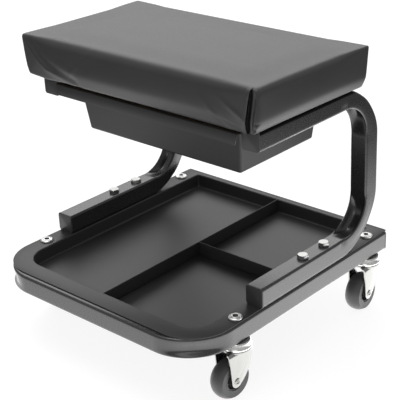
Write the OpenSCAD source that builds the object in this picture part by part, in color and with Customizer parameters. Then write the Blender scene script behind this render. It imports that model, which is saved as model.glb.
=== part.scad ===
// Rolling creeper seat: a wheeled tool tray base, two bent square tube legs,
// an upholstered seat pad and a sheet steel drawer that slides under the seat.
// Millimetres. The floor is z = 0, the front is towards -Y and +X is the right hand
// side seen from the front. The base is centred on x = 0, y = 0.

/* [Base frame] */
// Width over the base rails
base_w = 355; // [330:1:400]
// Depth from the front rail to the back lip of the tray
base_d = 380; // [360:1:430]
// Side of the square rail tube
rail_s = 25; // [22:0.5:28]
// Wall of the rail tube
rail_wall = 1.8; // [1.2:0.1:2.4]
// Radius of the rounded edges of the rail tube
rail_edge_r = 3; // [2:0.25:4]
// Outside bend radius at the front corners
rail_bend_r = 65; // [60:1:80]
// How far bending draws the whole outer wall of the rail in
rail_sink = 2.4; // [0:0.1:5]
// How far the middle of the outer wall is dished at a bend
rail_dish = 3; // [0:0.25:4]
// Distance that the plugged rail ends stay in front of the tray's back lip
rail_back_gap = 1.6; // [1.6:0.1:4]

/* [Tool tray] */
// Sheet thickness of the tray
tray_t = 1.2; // [0.8:0.1:1.6]
// Depth of the pan below the top of its rim
tray_depth = 19; // [14:0.5:21]
// Distance of the rim from the outer face of the side rails
rim_side_inset = 2; // [1:0.25:4]
// Distance of the rim from the outer face of the front rail
rim_front_inset = 6.5; // [4:0.25:8]
// Radius of the front corners of the rim
rim_corner_r = 53; // [40:1:56]
// Radius of the front corners of the pan opening
pan_corner_r = 32; // [30:0.5:40]
// Radius of the back corners of the pan opening
pan_back_r = 3; // [2:0.5:6]
// Space between the pan and the side rails
pan_side_gap = 0.6; // [0.4:0.1:1.5]
// Space between the pan and the front rail
pan_front_gap = 5.4; // [5:0.1:8]
// Width of the back lip of the tray
back_lip = 10; // [8:0.5:14]
// Height of the turned down edge of the back lip
back_turn = 8; // [5:0.5:12]
// Place of the cross divider behind the middle of the base
cross_y = 14; // [-20:1:40]
// Width of the foot that holds a divider to the floor
divider_foot = 8; // [6:0.5:12]
// Space between a divider and the walls that it meets
divider_gap = 0.2; // [0.1:0.05:0.3]

/* [Legs] */
// Side of the square leg tube
leg_s = 25; // [22:0.5:28]
// Wall of the leg tube
leg_wall = 1.8; // [1.2:0.1:2.4]
// Radius of the rounded edges of the leg tube
leg_edge_r = 3; // [2:0.25:4]
// Height of a leg over both runs
leg_h = 221; // [200:1:260]
// Inside bend radius of a leg
leg_bend_r = 45; // [40:1:55]
// Distance from the middle of the base back to the rear face of the legs
leg_back = 162.5; // [150:0.5:180]
// Distance from the middle of the base forward to the lower leg ends
leg_front = 72; // [60:0.5:85]
// How far bending draws the outer wall of the leg in
leg_sink = 5; // [0:0.25:7]
// Depth of the groove that bending presses into the inner wall
leg_groove = 7; // [0:0.25:9]
// Thickness of the flange of a plastic end cap
cap_t = 2; // [1.5:0.1:3]
// Depth that an end cap reaches into its tube
cap_plug = 12; // [8:0.5:18]
// Places of the two leg bolts behind the middle of the base
leg_bolt_y = [22, 65];

/* [Seat pad] */
// Distance that the pad stands out past the legs on each side
pad_overhang = 13; // [12:0.5:18]
// Widest depth of the pad
pad_d = 208; // [190:1:230]
// Height of the pad from the legs to its upper edge
pad_h = 56; // [50:1:75]
// Rise of the crown in the middle of the pad
pad_crown = 5; // [2:0.5:10]
// How far the sides draw in from the widest line to the underside
pad_taper = 5; // [4:0.5:8]
// Depth of the folded pleats at the corners
pad_pleat = 2; // [1:0.5:4]
// Place of the middle of the pad behind the middle of the base
pad_y = 14; // [5:0.5:20]
// Thickness of the plywood board
board_t = 12; // [9:0.5:15]
// Distance of the board's edge from the widest line of the pad
board_inset = 14; // [13:0.5:15]
// Radius of the corners of the board
board_corner_r = 12; // [5:1:20]
// Distance of the seat bolts in front of and behind the middle of the pad
seat_bolt_y = 55; // [40:1:65]

/* [Drawer] */
// Half width of the drawer box at its rim
drawer_half_w = 134; // [120:0.5:136]
// Place of the front wall in front of the middle of the base
drawer_front = 52; // [45:0.5:56]
// Place of the back wall behind the middle of the base
drawer_back = 101; // [90:0.5:101]
// Depth of the drawer from the top of its flange
drawer_depth = 65; // [45:0.5:75]
// Distance of the drawer flange below the top of the legs
drawer_drop = 6.5; // [6:0.25:8]
// Sheet thickness of the drawer
drawer_t = 1.2; // [0.8:0.1:1.5]
// Slope of the drawer walls
drawer_draft_share = 0.11; // [0.05:0.01:0.15]
// Radius of the upright corners of the drawer box
drawer_corner_r = 3.5; // [3:0.5:10]
// Radius of the bottom edges of the drawer box
drawer_floor_r = 3; // [2:0.5:6]
// Height of the turned down pull at the front
pull_h = 14.5; // [12:0.5:18]
// Distance that the pull stands in front of the leg ends
pull_proud = 4.6; // [3:0.2:8]
// How much shorter the lower edge of the pull is at each end
pull_bevel = 4; // [0:0.5:6]
// Travel of the drawer
drawer_travel = 120; // [80:1:125]
// Sheet thickness of a runner
runner_t = 1.2; // [1:0.1:1.6]
// Width of the lip that carries the drawer flange
runner_lip = 12; // [8:0.5:13]
// Height of the wall of a runner
runner_h = 19; // [18:0.5:20]
// Play between the drawer flange and the runner, on each face
runner_play = 0.4; // [0.3:0.05:0.6]

/* [Casters] */
// Diameter of a wheel
wheel_d = 51; // [48:0.5:60]
// Width of a wheel
wheel_w = 21; // [18:0.5:24]
// Distance of the wheel axle behind the swivel axis
trail = 13; // [10:0.5:18]
// Height of the whole caster
caster_h = 74.5; // [74:0.25:86]
// Place of the front casters behind the front rail
caster_front = 84; // [75:0.5:95]
// Place of the back casters in front of the back lip
caster_back = 31.5; // [26:0.5:40]
// Sheet thickness of the fork
fork_t = 2; // [1.5:0.1:2.5]
// Space between the wheel and each fork leg
fork_gap = 0.6; // [0.5:0.1:1.2]
// Radius of the round crown of the fork
crown_r = 19; // [18:0.5:22]
// Turn of the front left, front right, back left and back right caster
caster_turn = [150, -5, -20, 5];

/* [Hidden] */
$fn = 48;

// Overrun of every cut past the face that it opens
cut = 1;
// Space between parts that touch lightly, such as a cap in its tube
fit_gap = 0.15;
// Space that the soft pad keeps from its neighbours
soft_gap = 0.3;

// Heights of the stack above the floor
rail_z = caster_h;
rail_top = rail_z + rail_s;
rim_z = rail_top + tray_t;
leg_top = rim_z + leg_h;
axle_z = wheel_d / 2;

// Tube runs
rail_x = base_w / 2 - rail_s / 2;
rail_end_y = base_d / 2 - tray_t - rail_back_gap - cap_t;
leg_x = base_w / 2 - leg_s / 2;
leg_end_y = -leg_front + cap_t;
pad_w = base_w + 2 * pad_overhang;
front_y = -base_d / 2;

// Bend stations and the share of the full sink and groove that each has
bend_steps = 12;
bend_ramp_share = 0.5;

// Points on each rounded edge and along each wall of a tube section
edge_steps = 3;
wall_steps = 4;

function smooth(t) = let (c = min(max(t, 0), 1)) c * c * (3 - 2 * c);
// Share of the full section change at a share t along a bend
function bend_share(t) = smooth(min(t, 1 - t) / bend_ramp_share);

// One wall of a rounded square section, from its first edge to its last, as [lateral, outward]
function square_ring(s, r) =
    let (h = s / 2, q = 360 / 4)
    [for (k = [0:3]) each
        let (a0 = q * k, cx = [1, -1, -1, 1][k] * (h - r), cy = [1, 1, -1, -1][k] * (h - r),
             nx = [-1, -1, 1, 1][k] * (h - r), ny = [1, -1, -1, 1][k] * (h - r),
             b = a0 + q)
        concat([for (i = [0:edge_steps]) [cx + r * cos(a0 + q * i / edge_steps),
                                           cy + r * sin(a0 + q * i / edge_steps)]],
               [for (j = [1:wall_steps - 1])
                   let (f = j / wall_steps, ex = cx + r * cos(b), ey = cy + r * sin(b),
                        gx = nx + r * cos(b), gy = ny + r * sin(b))
                   [ex + (gx - ex) * f, ey + (gy - ey) * f]])];

// A section point moved by bending: the outer wall sinks and dishes, the inner wall is grooved
function bent(p, s, m, sink, dish, groove) =
    let (h = s / 2, lat = max(0, 1 - pow(p[0] / h, 2)))
    [p[0], p[1] > 0
        ? p[1] - m * (p[1] / h) * (sink + dish * lat)
        : p[1] - m * (p[1] / h) * groove * pow(lat, 2)];

// Stations of a path with two right angle bends: [place, outward direction, bend share].
// a, b and c are the straight lengths and r is the radius of the centre line.
function two_bend_path(a, b, c, r) =
    let (turn = 90)
    concat([[[0, 0], 0, 0]],
           [for (i = [0:bend_steps]) let (t = i / bend_steps, g = turn * t)
               [[a + r * sin(g), r - r * cos(g)], g, bend_share(t)]],
           [for (i = [0:bend_steps]) let (t = i / bend_steps, g = turn * t)
               [[a + r * cos(g), r + b + r * sin(g)], turn + g, bend_share(t)]],
           [[[a - c, 2 * r + b], 2 * turn, 0]]);

// Rings of a tube swept along stations in the plane of u and v, with w across it
function sweep_rings(path, s, r, sink, dish, groove) =
    [for (st = path)
        let (p = st[0], g = st[1], m = st[2])
        [for (q0 = square_ring(s, r))
            let (q = bent(q0, s, m, sink, dish, groove))
            [p[0] + q[1] * sin(g), q[0], p[1] - q[1] * cos(g)]]];

// Triangles between two neighbouring rings that start at points i and j
function band(i, j, n, flip = false) =
    [for (k = [0:n - 1]) each
        let (l = (k + 1) % n)
        flip ? [[i + k, j + k, j + l], [i + k, j + l, i + l]]
             : [[i + k, j + l, j + k], [i + k, i + l, j + l]]];

// Open ended tube between an outer and an inner set of rings
module hollow_sweep(outer, inner) {
    n = len(outer[0]);
    m = len(outer);
    o = n * m;
    pts = concat([for (r = outer) each r], [for (r = inner) each r]);
    polyhedron(pts, concat(
        [for (k = [0:m - 2]) each band(k * n, (k + 1) * n, n)],
        [for (k = [0:m - 2]) each band(o + k * n, o + (k + 1) * n, n, true)],
        band(0, o, n, true),
        band((m - 1) * n, o + (m - 1) * n, n)));
}

// Closed solid through rings that are listed from the bottom to the top
module loft(rings) {
    n = len(rings[0]);
    m = len(rings);
    pts = [for (r = rings) each r];
    polyhedron(pts, concat(
        [for (k = [0:m - 2]) each band(k * n, (k + 1) * n, n, true)],
        [for (k = [1:n - 2]) [0, k, k + 1]],
        [for (k = [1:n - 2]) [(m - 1) * n, (m - 1) * n + k + 1, (m - 1) * n + k]]));
}

// Outline with rounded corners, centred on x = 0, from y0 to y1
module round_plate(w, y0, y1, r_front, r_back) {
    h = w / 2;
    translate([-h, y0 + r_front]) square([w, y1 - r_back - y0 - r_front]);
    translate([-h + r_front, y0]) square([w - 2 * r_front, y1 - r_back - y0]);
    translate([-h + r_back, y0 + r_front]) square([w - 2 * r_back, y1 - y0 - r_front]);
    for (sx = [-1, 1]) {
        translate([sx * (h - r_front), y0 + r_front]) circle(r_front);
        translate([sx * (h - r_back), y1 - r_back]) circle(r_back);
    }
}

/* Fasteners */
m8_d = 8;
m8_hole_d = 8.6;
hex_key_share = 1.155;
m8_hex_w = 13;
m8_hex_corner_d = m8_hex_w * hex_key_share;
m8_head_h = 5.3;
m8_nut_h = 6.8;
m8_end = 2;
m6_d = 6;
m6_hole_d = 6.4;
m6_hex_w = 10;
m6_head_h = 4;
m6_access_d = 14;

// Hexagon with its flats facing front and back
module hex_prism(w, h) {
    sides = 6;
    cylinder(d = w * hex_key_share, h = h, $fn = sides);
}

// Share of a hexagon head that its round washer face takes
washer_share = 0.125;

// Bolt with a hexagon head on z = 0 and its shank below
module hex_bolt(d, w, head_h, length) {
    washer_h = head_h * washer_share;
    translate([0, 0, washer_h]) hex_prism(w, head_h - washer_h);
    cylinder(d = w, h = washer_h);
    translate([0, 0, -length]) cylinder(d = d, h = length);
}

// Base frame: one square tube bent into a U that is open to the back
rail_bend_mid = rail_bend_r - rail_s / 2;
rail_side_run = rail_end_y - (front_y + rail_bend_r);
rail_front_run = base_w - 2 * rail_bend_r;

function rail_ring_set(s, r) = sweep_rings(
    two_bend_path(rail_side_run, rail_front_run, rail_side_run, rail_bend_mid),
    s, r, rail_sink, rail_dish, rail_dish);

module base_frame() {
    color("#262626")
    difference() {
        translate([rail_x, rail_end_y, rail_z + rail_s / 2])
            hollow_sweep([for (r = rail_ring_set(rail_s, rail_edge_r)) [for (p = r) [-p[2], -p[0], -p[1]]]],
                         [for (r = rail_ring_set(rail_s - 2 * rail_wall, rail_edge_r - rail_wall))
                             [for (p = r) [-p[2], -p[0], -p[1]]]]);
        for (sx = [-1, 1]) {
            for (y = leg_bolt_y)
                translate([sx * leg_x, y, rail_top - rail_s / 2]) cylinder(d = m8_hole_d, h = rail_s);
            for (y = [front_y + caster_front, base_d / 2 - caster_back])
                translate([sx * rail_x, y, rail_z - cut]) cylinder(d = stem_hole_d, h = rail_s + 2 * cut);
        }
    }
}

// Square plastic plug with a flat flange, along -Y from its tube's end
module end_plug(s, wall, r) {
    inner = s - 2 * wall - 2 * fit_gap;
    translate([0, -cap_t, 0]) rotate([-90, 0, 0])
        linear_extrude(cap_t) round_plate(s, -s / 2, s / 2, r, r);
    rotate([-90, 0, 0]) linear_extrude(cap_plug)
        round_plate(inner, -inner / 2, inner / 2, r - wall / 2, r - wall / 2);
}

module rail_end_caps() {
    color("#161616")
    for (sx = [-1, 1]) translate([sx * rail_x, rail_end_y, rail_z + rail_s / 2])
        rotate([0, 0, 180]) end_plug(rail_s, rail_wall, rail_edge_r);
}

/* Tool tray */
rim_w = base_w - 2 * rim_side_inset;
rim_front_y = front_y + rim_front_inset;
pan_w = base_w - 2 * rail_s - 2 * pan_side_gap - 2 * tray_t;
pan_front_y = front_y + rail_s + pan_front_gap + tray_t;
pan_back_y = base_d / 2 - back_lip;
pan_floor_z = rim_z - tray_depth;
rim_back_r = 2;

module tray() {
    color("#2a2a2a")
    difference() {
        union() {
            translate([0, 0, rail_top]) linear_extrude(tray_t)
                round_plate(rim_w, rim_front_y, base_d / 2, rim_corner_r, rim_back_r);
            translate([0, 0, pan_floor_z - tray_t]) linear_extrude(tray_depth)
                round_plate(pan_w + 2 * tray_t, pan_front_y - tray_t, pan_back_y + tray_t,
                            pan_corner_r + tray_t, pan_back_r + tray_t);
            translate([-pan_w / 2, base_d / 2 - tray_t, rail_top - back_turn])
                cube([pan_w, tray_t, back_turn + tray_t / 2]);
        }
        translate([0, 0, pan_floor_z]) linear_extrude(tray_depth + cut)
            round_plate(pan_w, pan_front_y, pan_back_y, pan_corner_r, pan_back_r);
        for (sx = [-1, 1]) {
            for (y = leg_bolt_y)
                translate([sx * leg_x, y, rail_top - cut]) cylinder(d = m8_hole_d, h = tray_t + 2 * cut);
            for (y = [front_y + caster_front, base_d / 2 - caster_back])
                translate([sx * rail_x, y, rail_top - cut]) cylinder(d = stem_hole_d, h = tray_t + 2 * cut);
        }
    }
}

// Folded strip: an upright web of the given length along Y with a foot to -X
module divider(length) {
    translate([-tray_t / 2, 0, pan_floor_z]) cube([tray_t, length, tray_depth]);
    translate([-tray_t / 2 - divider_foot, 0, pan_floor_z]) cube([divider_foot + tray_t / 2, length, tray_t]);
}

module divider_long() {
    color("#303030")
    translate([0, pan_front_y + divider_gap, 0]) divider(pan_back_y - pan_front_y - 2 * divider_gap);
}

module divider_cross() {
    color("#303030")
    translate([tray_t / 2 + divider_gap, cross_y, 0]) rotate([0, 0, -90])
        divider(pan_w / 2 - tray_t / 2 - 2 * divider_gap);
}

/* Legs */
leg_bend_mid = leg_bend_r + leg_s / 2;
leg_outer_bend = leg_bend_r + leg_s;
leg_run = leg_back - leg_outer_bend - leg_end_y;
leg_rise = leg_h - 2 * leg_outer_bend;

function leg_ring_set(s, r) = sweep_rings(
    two_bend_path(leg_run, leg_rise, leg_run, leg_bend_mid), s, r, leg_sink, 0, leg_groove);

module leg(sx) {
    color("#2b2b2b")
    difference() {
        translate([sx * leg_x, leg_end_y, rim_z + leg_s / 2])
            hollow_sweep([for (r = leg_ring_set(leg_s, leg_edge_r)) [for (p = r) [p[1], p[0], p[2]]]],
                         [for (r = leg_ring_set(leg_s - 2 * leg_wall, leg_edge_r - leg_wall))
                             [for (p = r) [p[1], p[0], p[2]]]]);
        for (y = leg_bolt_y)
            translate([sx * leg_x, y, rim_z - cut]) cylinder(d = m8_hole_d, h = leg_s + 2 * cut);
        for (y = [-seat_bolt_y, seat_bolt_y])
            translate([sx * leg_x, pad_y + y, leg_top]) {
                translate([0, 0, -leg_s / 2]) cylinder(d = m6_hole_d, h = leg_s);
                translate([0, 0, -leg_s - cut]) cylinder(d = m6_access_d, h = leg_s / 2 + cut);
            }
        for (y = rivet_y)
            translate([sx * (leg_x - leg_s / 2), y, rivet_z]) rotate([0, 90, 0])
                cylinder(d = rivet_d + 2 * fit_gap, h = 2 * leg_wall + 2 * cut, center = true);
    }
}

module leg_left() leg(-1);
module leg_right() leg(1);

module leg_end_caps() {
    color("#111111")
    for (sx = [-1, 1], z = [rim_z + leg_s / 2, leg_top - leg_s / 2])
        translate([sx * leg_x, leg_end_y, z]) end_plug(leg_s, leg_wall, leg_edge_r);
}

leg_bolt_len = leg_s + tray_t + rail_wall + m8_nut_h + m8_end;

module leg_bolts() {
    color("#c9ccd0")
    for (sx = [-1, 1], y = leg_bolt_y)
        translate([sx * leg_x, y, rim_z + leg_s]) hex_bolt(m8_d, m8_hex_w, m8_head_h, leg_bolt_len);
}

module leg_nuts() {
    color("#c9ccd0")
    for (sx = [-1, 1], y = leg_bolt_y)
        translate([sx * leg_x, y, rail_top - rail_wall - m8_nut_h]) difference() {
            hex_prism(m8_hex_w, m8_nut_h);
            translate([0, 0, -cut]) cylinder(d = m8_d + fit_gap, h = m8_nut_h + 2 * cut);
        }
}

/* Seat */
board_w = pad_w - 2 * board_inset;
board_d = pad_d - 2 * board_inset;
tee_barrel_d = 8;
tee_flange_d = 19;
tee_flange_t = 1.5;
m6_end = 1;
seat_bolt_len = leg_wall + board_t - m6_end;

module seat_board() {
    color("#c8a678")
    difference() {
        translate([0, pad_y, leg_top]) linear_extrude(board_t)
            round_plate(board_w, -board_d / 2, board_d / 2, board_corner_r, board_corner_r);
        for (sx = [-1, 1], y = [-seat_bolt_y, seat_bolt_y])
            translate([sx * leg_x, pad_y + y, leg_top - cut])
                cylinder(d = tee_barrel_d + 2 * fit_gap, h = board_t + 2 * cut);
    }
}

module seat_bolts() {
    color("#c9ccd0")
    for (sx = [-1, 1], y = [-seat_bolt_y, seat_bolt_y])
        translate([sx * leg_x, pad_y + y, leg_top - leg_wall]) mirror([0, 0, 1])
            hex_bolt(m6_d, m6_hex_w, m6_head_h, seat_bolt_len);
}

module tee_nuts() {
    color("#b8bcc0")
    for (sx = [-1, 1], y = [-seat_bolt_y, seat_bolt_y])
        translate([sx * leg_x, pad_y + y, leg_top]) difference() {
            union() {
                translate([0, 0, fit_gap]) cylinder(d = tee_barrel_d, h = board_t);
                translate([0, 0, board_t]) cylinder(d = tee_flange_d, h = tee_flange_t);
            }
            translate([0, 0, -cut]) cylinder(d = m6_d + fit_gap, h = board_t + tee_flange_t + 2 * cut);
        }
}

// Pad outline: points along the long and short sides and round a corner
pad_long_steps = 8;
pad_short_steps = 6;
pad_corner_steps = 4;
pad_corner_r = 2.5;
pad_corner_drop = 1;
pad_side_draw = 2.5;
pad_bow_power = 4;
// Rows of the side from the underside up: [height share, inset share, pleat share]
pad_side_share = [[0, 1.35, 0], [0.03, 1, 0.5], [0.10, 0.9, 0.9], [0.28, 0.7, 1], [0.50, 0.44, 0.8],
                  [0.68, 0.2, 0.5], [0.86, 0, 0.2], [0.94, 0.06, 0], [0.98, 0.22, 0], [1, 0.55, 0]];
// Height share over which the underside levels out, without the droop of the corners
pad_level_share = 0.3;
// Rows of the crown from the edge to the middle, as shares of the half depth
pad_top_share = [0.94, 0.8, 0.6, 0.35, 0.12];

// One closed outline of the pad, inset from its widest line. Its corners lie lower by drop and
// are folded in by dent, and its sides are drawn in by draw.
function pad_ring(inset, z, drop, dent, draw, r) =
    let (hx = pad_w / 2 - inset, hy = pad_d / 2 - inset, q = 90)
    [for (k = [0:3]) each
        let (sx = [1, -1, -1, 1][k], sy = [1, 1, -1, -1][k], a0 = q * k,
             long = k % 2 == 0, steps = long ? pad_long_steps : pad_short_steps)
        concat(
            [for (i = [0:pad_corner_steps])
                let (a = a0 + q * i / pad_corner_steps, d = i == pad_corner_steps / 2 ? dent : 0)
                [sx * (hx - r) + (r - d) * cos(a), sy * (hy - r) + (r - d) * sin(a), z - drop]],
            [for (i = [1:steps - 1])
                let (t = 2 * i / steps - 1, bow = 1 - pow(t, pad_bow_power), low = z - drop + drop * bow)
                long ? [-sx * (hx - r) * t, sy * (hy - draw * bow), low]
                     : [sx * (hx - draw * bow), -sy * (hy - r) * t, low]])];

module cushion() {
    pocket_w = board_w + 2 * soft_gap;
    pocket_d = board_d + 2 * soft_gap;
    side = [for (s = pad_side_share)
        pad_ring(s[1] * pad_taper, soft_gap + s[0] * (pad_h - soft_gap),
                 pad_corner_drop * smooth(s[0] / pad_level_share), s[2] * pad_pleat,
                 pad_side_draw, pad_corner_r)];
    top = [for (f = pad_top_share)
        pad_ring(pad_d / 2 * (1 - f), pad_h + pad_crown * (1 - f * f), pad_corner_drop * f * f, 0,
                 pad_side_draw * f, pad_corner_r * f)];
    color("#3a3a3a")
    difference() {
        translate([0, pad_y, leg_top]) loft(concat(side, top));
        translate([0, pad_y, leg_top - cut]) linear_extrude(board_t + tee_flange_t + soft_gap + cut)
            round_plate(pocket_w, -pocket_d / 2, pocket_d / 2, board_corner_r, board_corner_r);
    }
}

/* Drawer and runners */
drawer_z = leg_top - drawer_drop;
flange_half_w = base_w / 2 - leg_s - runner_t - 2 * runner_play;
flange_front = leg_front + pull_proud;
flange_back_w = 4;
flange_back = drawer_back + flange_back_w;
runner_x = base_w / 2 - leg_s;
runner_front = leg_front - cap_t;
runner_back = flange_back + runner_play + runner_t;
runner_top_lip = 8;
lip_top_z = drawer_z - drawer_t - runner_play;
rivet_d = 4;
rivet_head_d = 8;
rivet_head_h = 1.2;
rivet_grip = 3;
rivet_y = [-45, 20, 85];
runner_low_z = drawer_z + runner_play + runner_t - runner_h;
rivet_z = (runner_low_z + lip_top_z - runner_t) / 2;

module runner(sx) {
    color("#8f9398")
    difference() {
        union() {
            // Wall against the leg tube
            translate([sx > 0 ? runner_x - runner_t : -runner_x, -runner_front, runner_low_z])
                cube([runner_t, runner_front + runner_back, runner_h]);
            // Lip under the flange
            translate([sx > 0 ? runner_x - runner_lip : -runner_x, -runner_front, lip_top_z - runner_t])
                cube([runner_lip, runner_front + runner_back, runner_t]);
            // Lip over the flange
            translate([sx > 0 ? runner_x - runner_top_lip : -runner_x, -runner_front, drawer_z + runner_play])
                cube([runner_top_lip, runner_front + runner_back, runner_t]);
            // Stop at the back
            translate([sx > 0 ? runner_x - runner_top_lip : -runner_x, runner_back - runner_t, lip_top_z - runner_t])
                cube([runner_top_lip, runner_t, drawer_z + runner_play - lip_top_z + 2 * runner_t]);
        }
        for (y = rivet_y) translate([sx * (runner_x - runner_t / 2), y, rivet_z]) rotate([0, 90, 0])
            cylinder(d = rivet_d + 2 * fit_gap, h = runner_t + 2 * cut, center = true);
    }
}

module runner_left() runner(-1);
module runner_right() runner(1);

module runner_rivets() {
    color("#a9adb2")
    for (sx = [-1, 1], y = rivet_y)
        translate([sx * (runner_x - runner_t), y, rivet_z]) rotate([0, sx * 90, 0]) {
            translate([0, 0, -rivet_head_h]) cylinder(d1 = rivet_d, d2 = rivet_head_d, h = rivet_head_h);
            cylinder(d = rivet_d, h = rivet_grip + runner_t);
        }
}

// One closed outline of the drawer box at a depth below the rim, inset by the sheet
function box_ring(depth, inset, r) =
    let (lean = inset + depth * drawer_draft_share, hx = drawer_half_w - lean,
         y0 = -drawer_front + lean, y1 = drawer_back - lean, q = 90, steps = 6)
    [for (k = [0:3]) each
        let (sx = [1, -1, -1, 1][k], y = [y1, y1, y0, y0][k], sy = [-1, -1, 1, 1][k], a0 = q * k)
        [for (i = [0:steps]) [sx * (hx - r) + r * cos(a0 + q * i / steps),
                              y + sy * r + r * sin(a0 + q * i / steps), -depth]]];

// Drawer box skin: floor edge rounded in steps, then straight walls up to above the rim
module box_skin(inset, depth, lift) {
    steps = 5;
    turn = 90;
    floor_rings = [for (i = [0:steps])
        let (a = turn * i / steps, back = drawer_floor_r * (1 - sin(a)))
        [for (p = box_ring(depth - drawer_floor_r + drawer_floor_r * cos(a), inset + back,
                           max(drawer_corner_r - back / 2, drawer_floor_r / 2))) p]];
    loft(concat(floor_rings, [[for (p = box_ring(0, inset, drawer_corner_r)) [p[0], p[1], lift]]]));
}

module drawer() {
    color("#3b3b3b")
    translate([0, 0, drawer_z]) {
        difference() {
            union() {
                box_skin(0, drawer_depth, -drawer_t / 2);
                translate([0, 0, -drawer_t]) linear_extrude(drawer_t)
                    translate([-flange_half_w, -flange_front])
                        square([2 * flange_half_w, flange_front + flange_back]);
            }
            box_skin(drawer_t, drawer_depth - drawer_t, cut);
        }
        translate([0, -flange_front, 0]) rotate([-90, 0, 0]) linear_extrude(drawer_t)
            polygon([[-flange_half_w, 0], [flange_half_w, 0],
                     [flange_half_w - pull_bevel, pull_h], [-flange_half_w + pull_bevel, pull_h]]);
    }
}

/* Casters */
stem_hole_d = 10.5;
bolt_d = 10;
bolt_head_d = 17;
bolt_head_h = 3.6;
bolt_rim_h = 1.2;
bolt_recess_d = 9;
bolt_recess_h = 0.8;
bolt_socket_w = 5;
bolt_socket_h = 3;
bolt_nut_w = 16;
bolt_nut_h = 5;
bolt_end = 0.6;
head_t = 1.8;
head_r = 19.5;
head_flat_r = 13;
head_skirt = 1.6;
race_gap = 0.6;
crown_dome = 4.2;
crown_dome_r = 11;
crown_bore_r = 7.6;
pin_r = 7.5;
pin_wall = 2.2;
pin_flange_r = 9;
pin_flange_t = 1.5;
head_h = 10;
crown_z = rail_z - head_h;
head_foot_z = crown_z + race_gap;
fork_half_w = wheel_w / 2 + fork_gap + fork_t;
fork_end_r = 8;
fork_front = 24.5;
fork_rear = 13.3;
fork_bend_r = 5;
fork_edge_steps = 8;
fork_leave_a = 37;
fork_start_a = 30;
axle_r = 3;
axle_head_r = 4.5;
axle_head_h = 1;
axle_play = 0.08;
hub_bore_r = axle_r + axle_play;
hub_r = 13;
hub_boss_r = 7;
hub_web = 5;
tyre_edge_r = 6;
tyre_seat_play = 0.05;

caster_places = [[-rail_x, front_y + caster_front], [rail_x, front_y + caster_front],
                 [-rail_x, base_d / 2 - caster_back], [rail_x, base_d / 2 - caster_back]];

// Places a child at caster i, turned with its swivel
module at_caster(i, turned = true) {
    translate([caster_places[i][0], caster_places[i][1], 0])
        rotate([0, 0, turned ? caster_turn[i] : 0]) children();
}

module caster_bolts() {
    dome_h = bolt_head_h - bolt_rim_h;
    dome_r = (pow(bolt_head_d / 2, 2) + pow(dome_h, 2)) / (2 * dome_h);
    sides = 6;
    color("#d4d6d9")
    for (i = [0:3]) at_caster(i) translate([0, 0, rim_z]) {
        difference() {
            rotate_extrude() intersection() {
                translate([0, bolt_head_h - dome_r]) circle(dome_r, $fn = 96);
                square([bolt_head_d / 2, bolt_head_h]);
            }
            translate([0, 0, bolt_head_h - bolt_recess_h]) cylinder(d = bolt_recess_d, h = bolt_recess_h + cut);
            translate([0, 0, bolt_head_h - bolt_socket_h])
                cylinder(d = bolt_socket_w * hex_key_share, h = bolt_socket_h + cut, $fn = sides);
        }
        translate([0, 0, crown_z - fork_t - pin_flange_t - bolt_nut_h - bolt_end - rim_z])
            cylinder(d = bolt_d, h = rim_z - (crown_z - fork_t - pin_flange_t - bolt_nut_h - bolt_end));
    }
}

module caster_nuts() {
    color("#c9ccd0")
    for (i = [0:3]) at_caster(i) translate([0, 0, crown_z - fork_t - pin_flange_t - race_gap / 2 - bolt_nut_h])
        difference() {
            hex_prism(bolt_nut_w, bolt_nut_h);
            translate([0, 0, -cut]) cylinder(d = bolt_d + fit_gap, h = bolt_nut_h + 2 * cut);
        }
}

// Upper race: a pressed cup that bears against the rail
module head(i) {
    color("#cfd2d6")
    at_caster(i) rotate_extrude() difference() {
        polygon([[0, rail_z], [head_flat_r, rail_z], [head_r - head_t, head_foot_z + head_skirt + head_t],
                 [head_r, head_foot_z + head_skirt], [head_r, head_foot_z],
                 [0, head_foot_z]]);
        polygon([[0, rail_z - head_t], [head_flat_r - head_t / 2, rail_z - head_t],
                 [head_r - 2 * head_t, head_foot_z + head_skirt],
                 [head_r - head_t, head_foot_z + head_skirt / 2], [head_r - head_t, head_foot_z - cut],
                 [0, head_foot_z - cut]]);
        square([pin_r + axle_play, rail_z + cut]);
    }
}

// Hollow kingpin: rolled over the upper race and flanged under the fork crown
module kingpin(i) {
    low = crown_z - fork_t - race_gap / 2;
    color("#bfc3c7")
    at_caster(i) difference() {
        union() {
            translate([0, 0, low]) cylinder(r = pin_r, h = rail_z - low);
            translate([0, 0, low - pin_flange_t]) cylinder(r = pin_flange_r, h = pin_flange_t);
        }
        translate([0, 0, low - pin_flange_t - cut])
            cylinder(r = pin_r - pin_wall, h = rail_z - low + pin_flange_t + 2 * cut);
    }
}

// Side outline of a fork leg as [y, z], seen from the right hand side. Its rear edge is a
// quarter of an ellipse that leaves the rounded end in line with it.
module fork_side() {
    y0 = -trail + fork_end_r * cos(fork_leave_a);
    z0 = axle_z - fork_end_r * sin(fork_leave_a);
    w = (fork_rear - y0) / (1 - sin(fork_start_a));
    h = (crown_z - z0) / cos(fork_start_a);
    rear = [for (i = [0:fork_edge_steps])
        let (a = fork_start_a + (90 - fork_start_a) * i / fork_edge_steps)
        [y0 + w * (sin(a) - sin(fork_start_a)), z0 + h * (cos(fork_start_a) - cos(a))]];
    polygon(concat([[-fork_front, crown_z], [-trail - fork_end_r, axle_z], [-trail, axle_z]], rear));
    translate([-trail, axle_z]) circle(fork_end_r);
}

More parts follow.
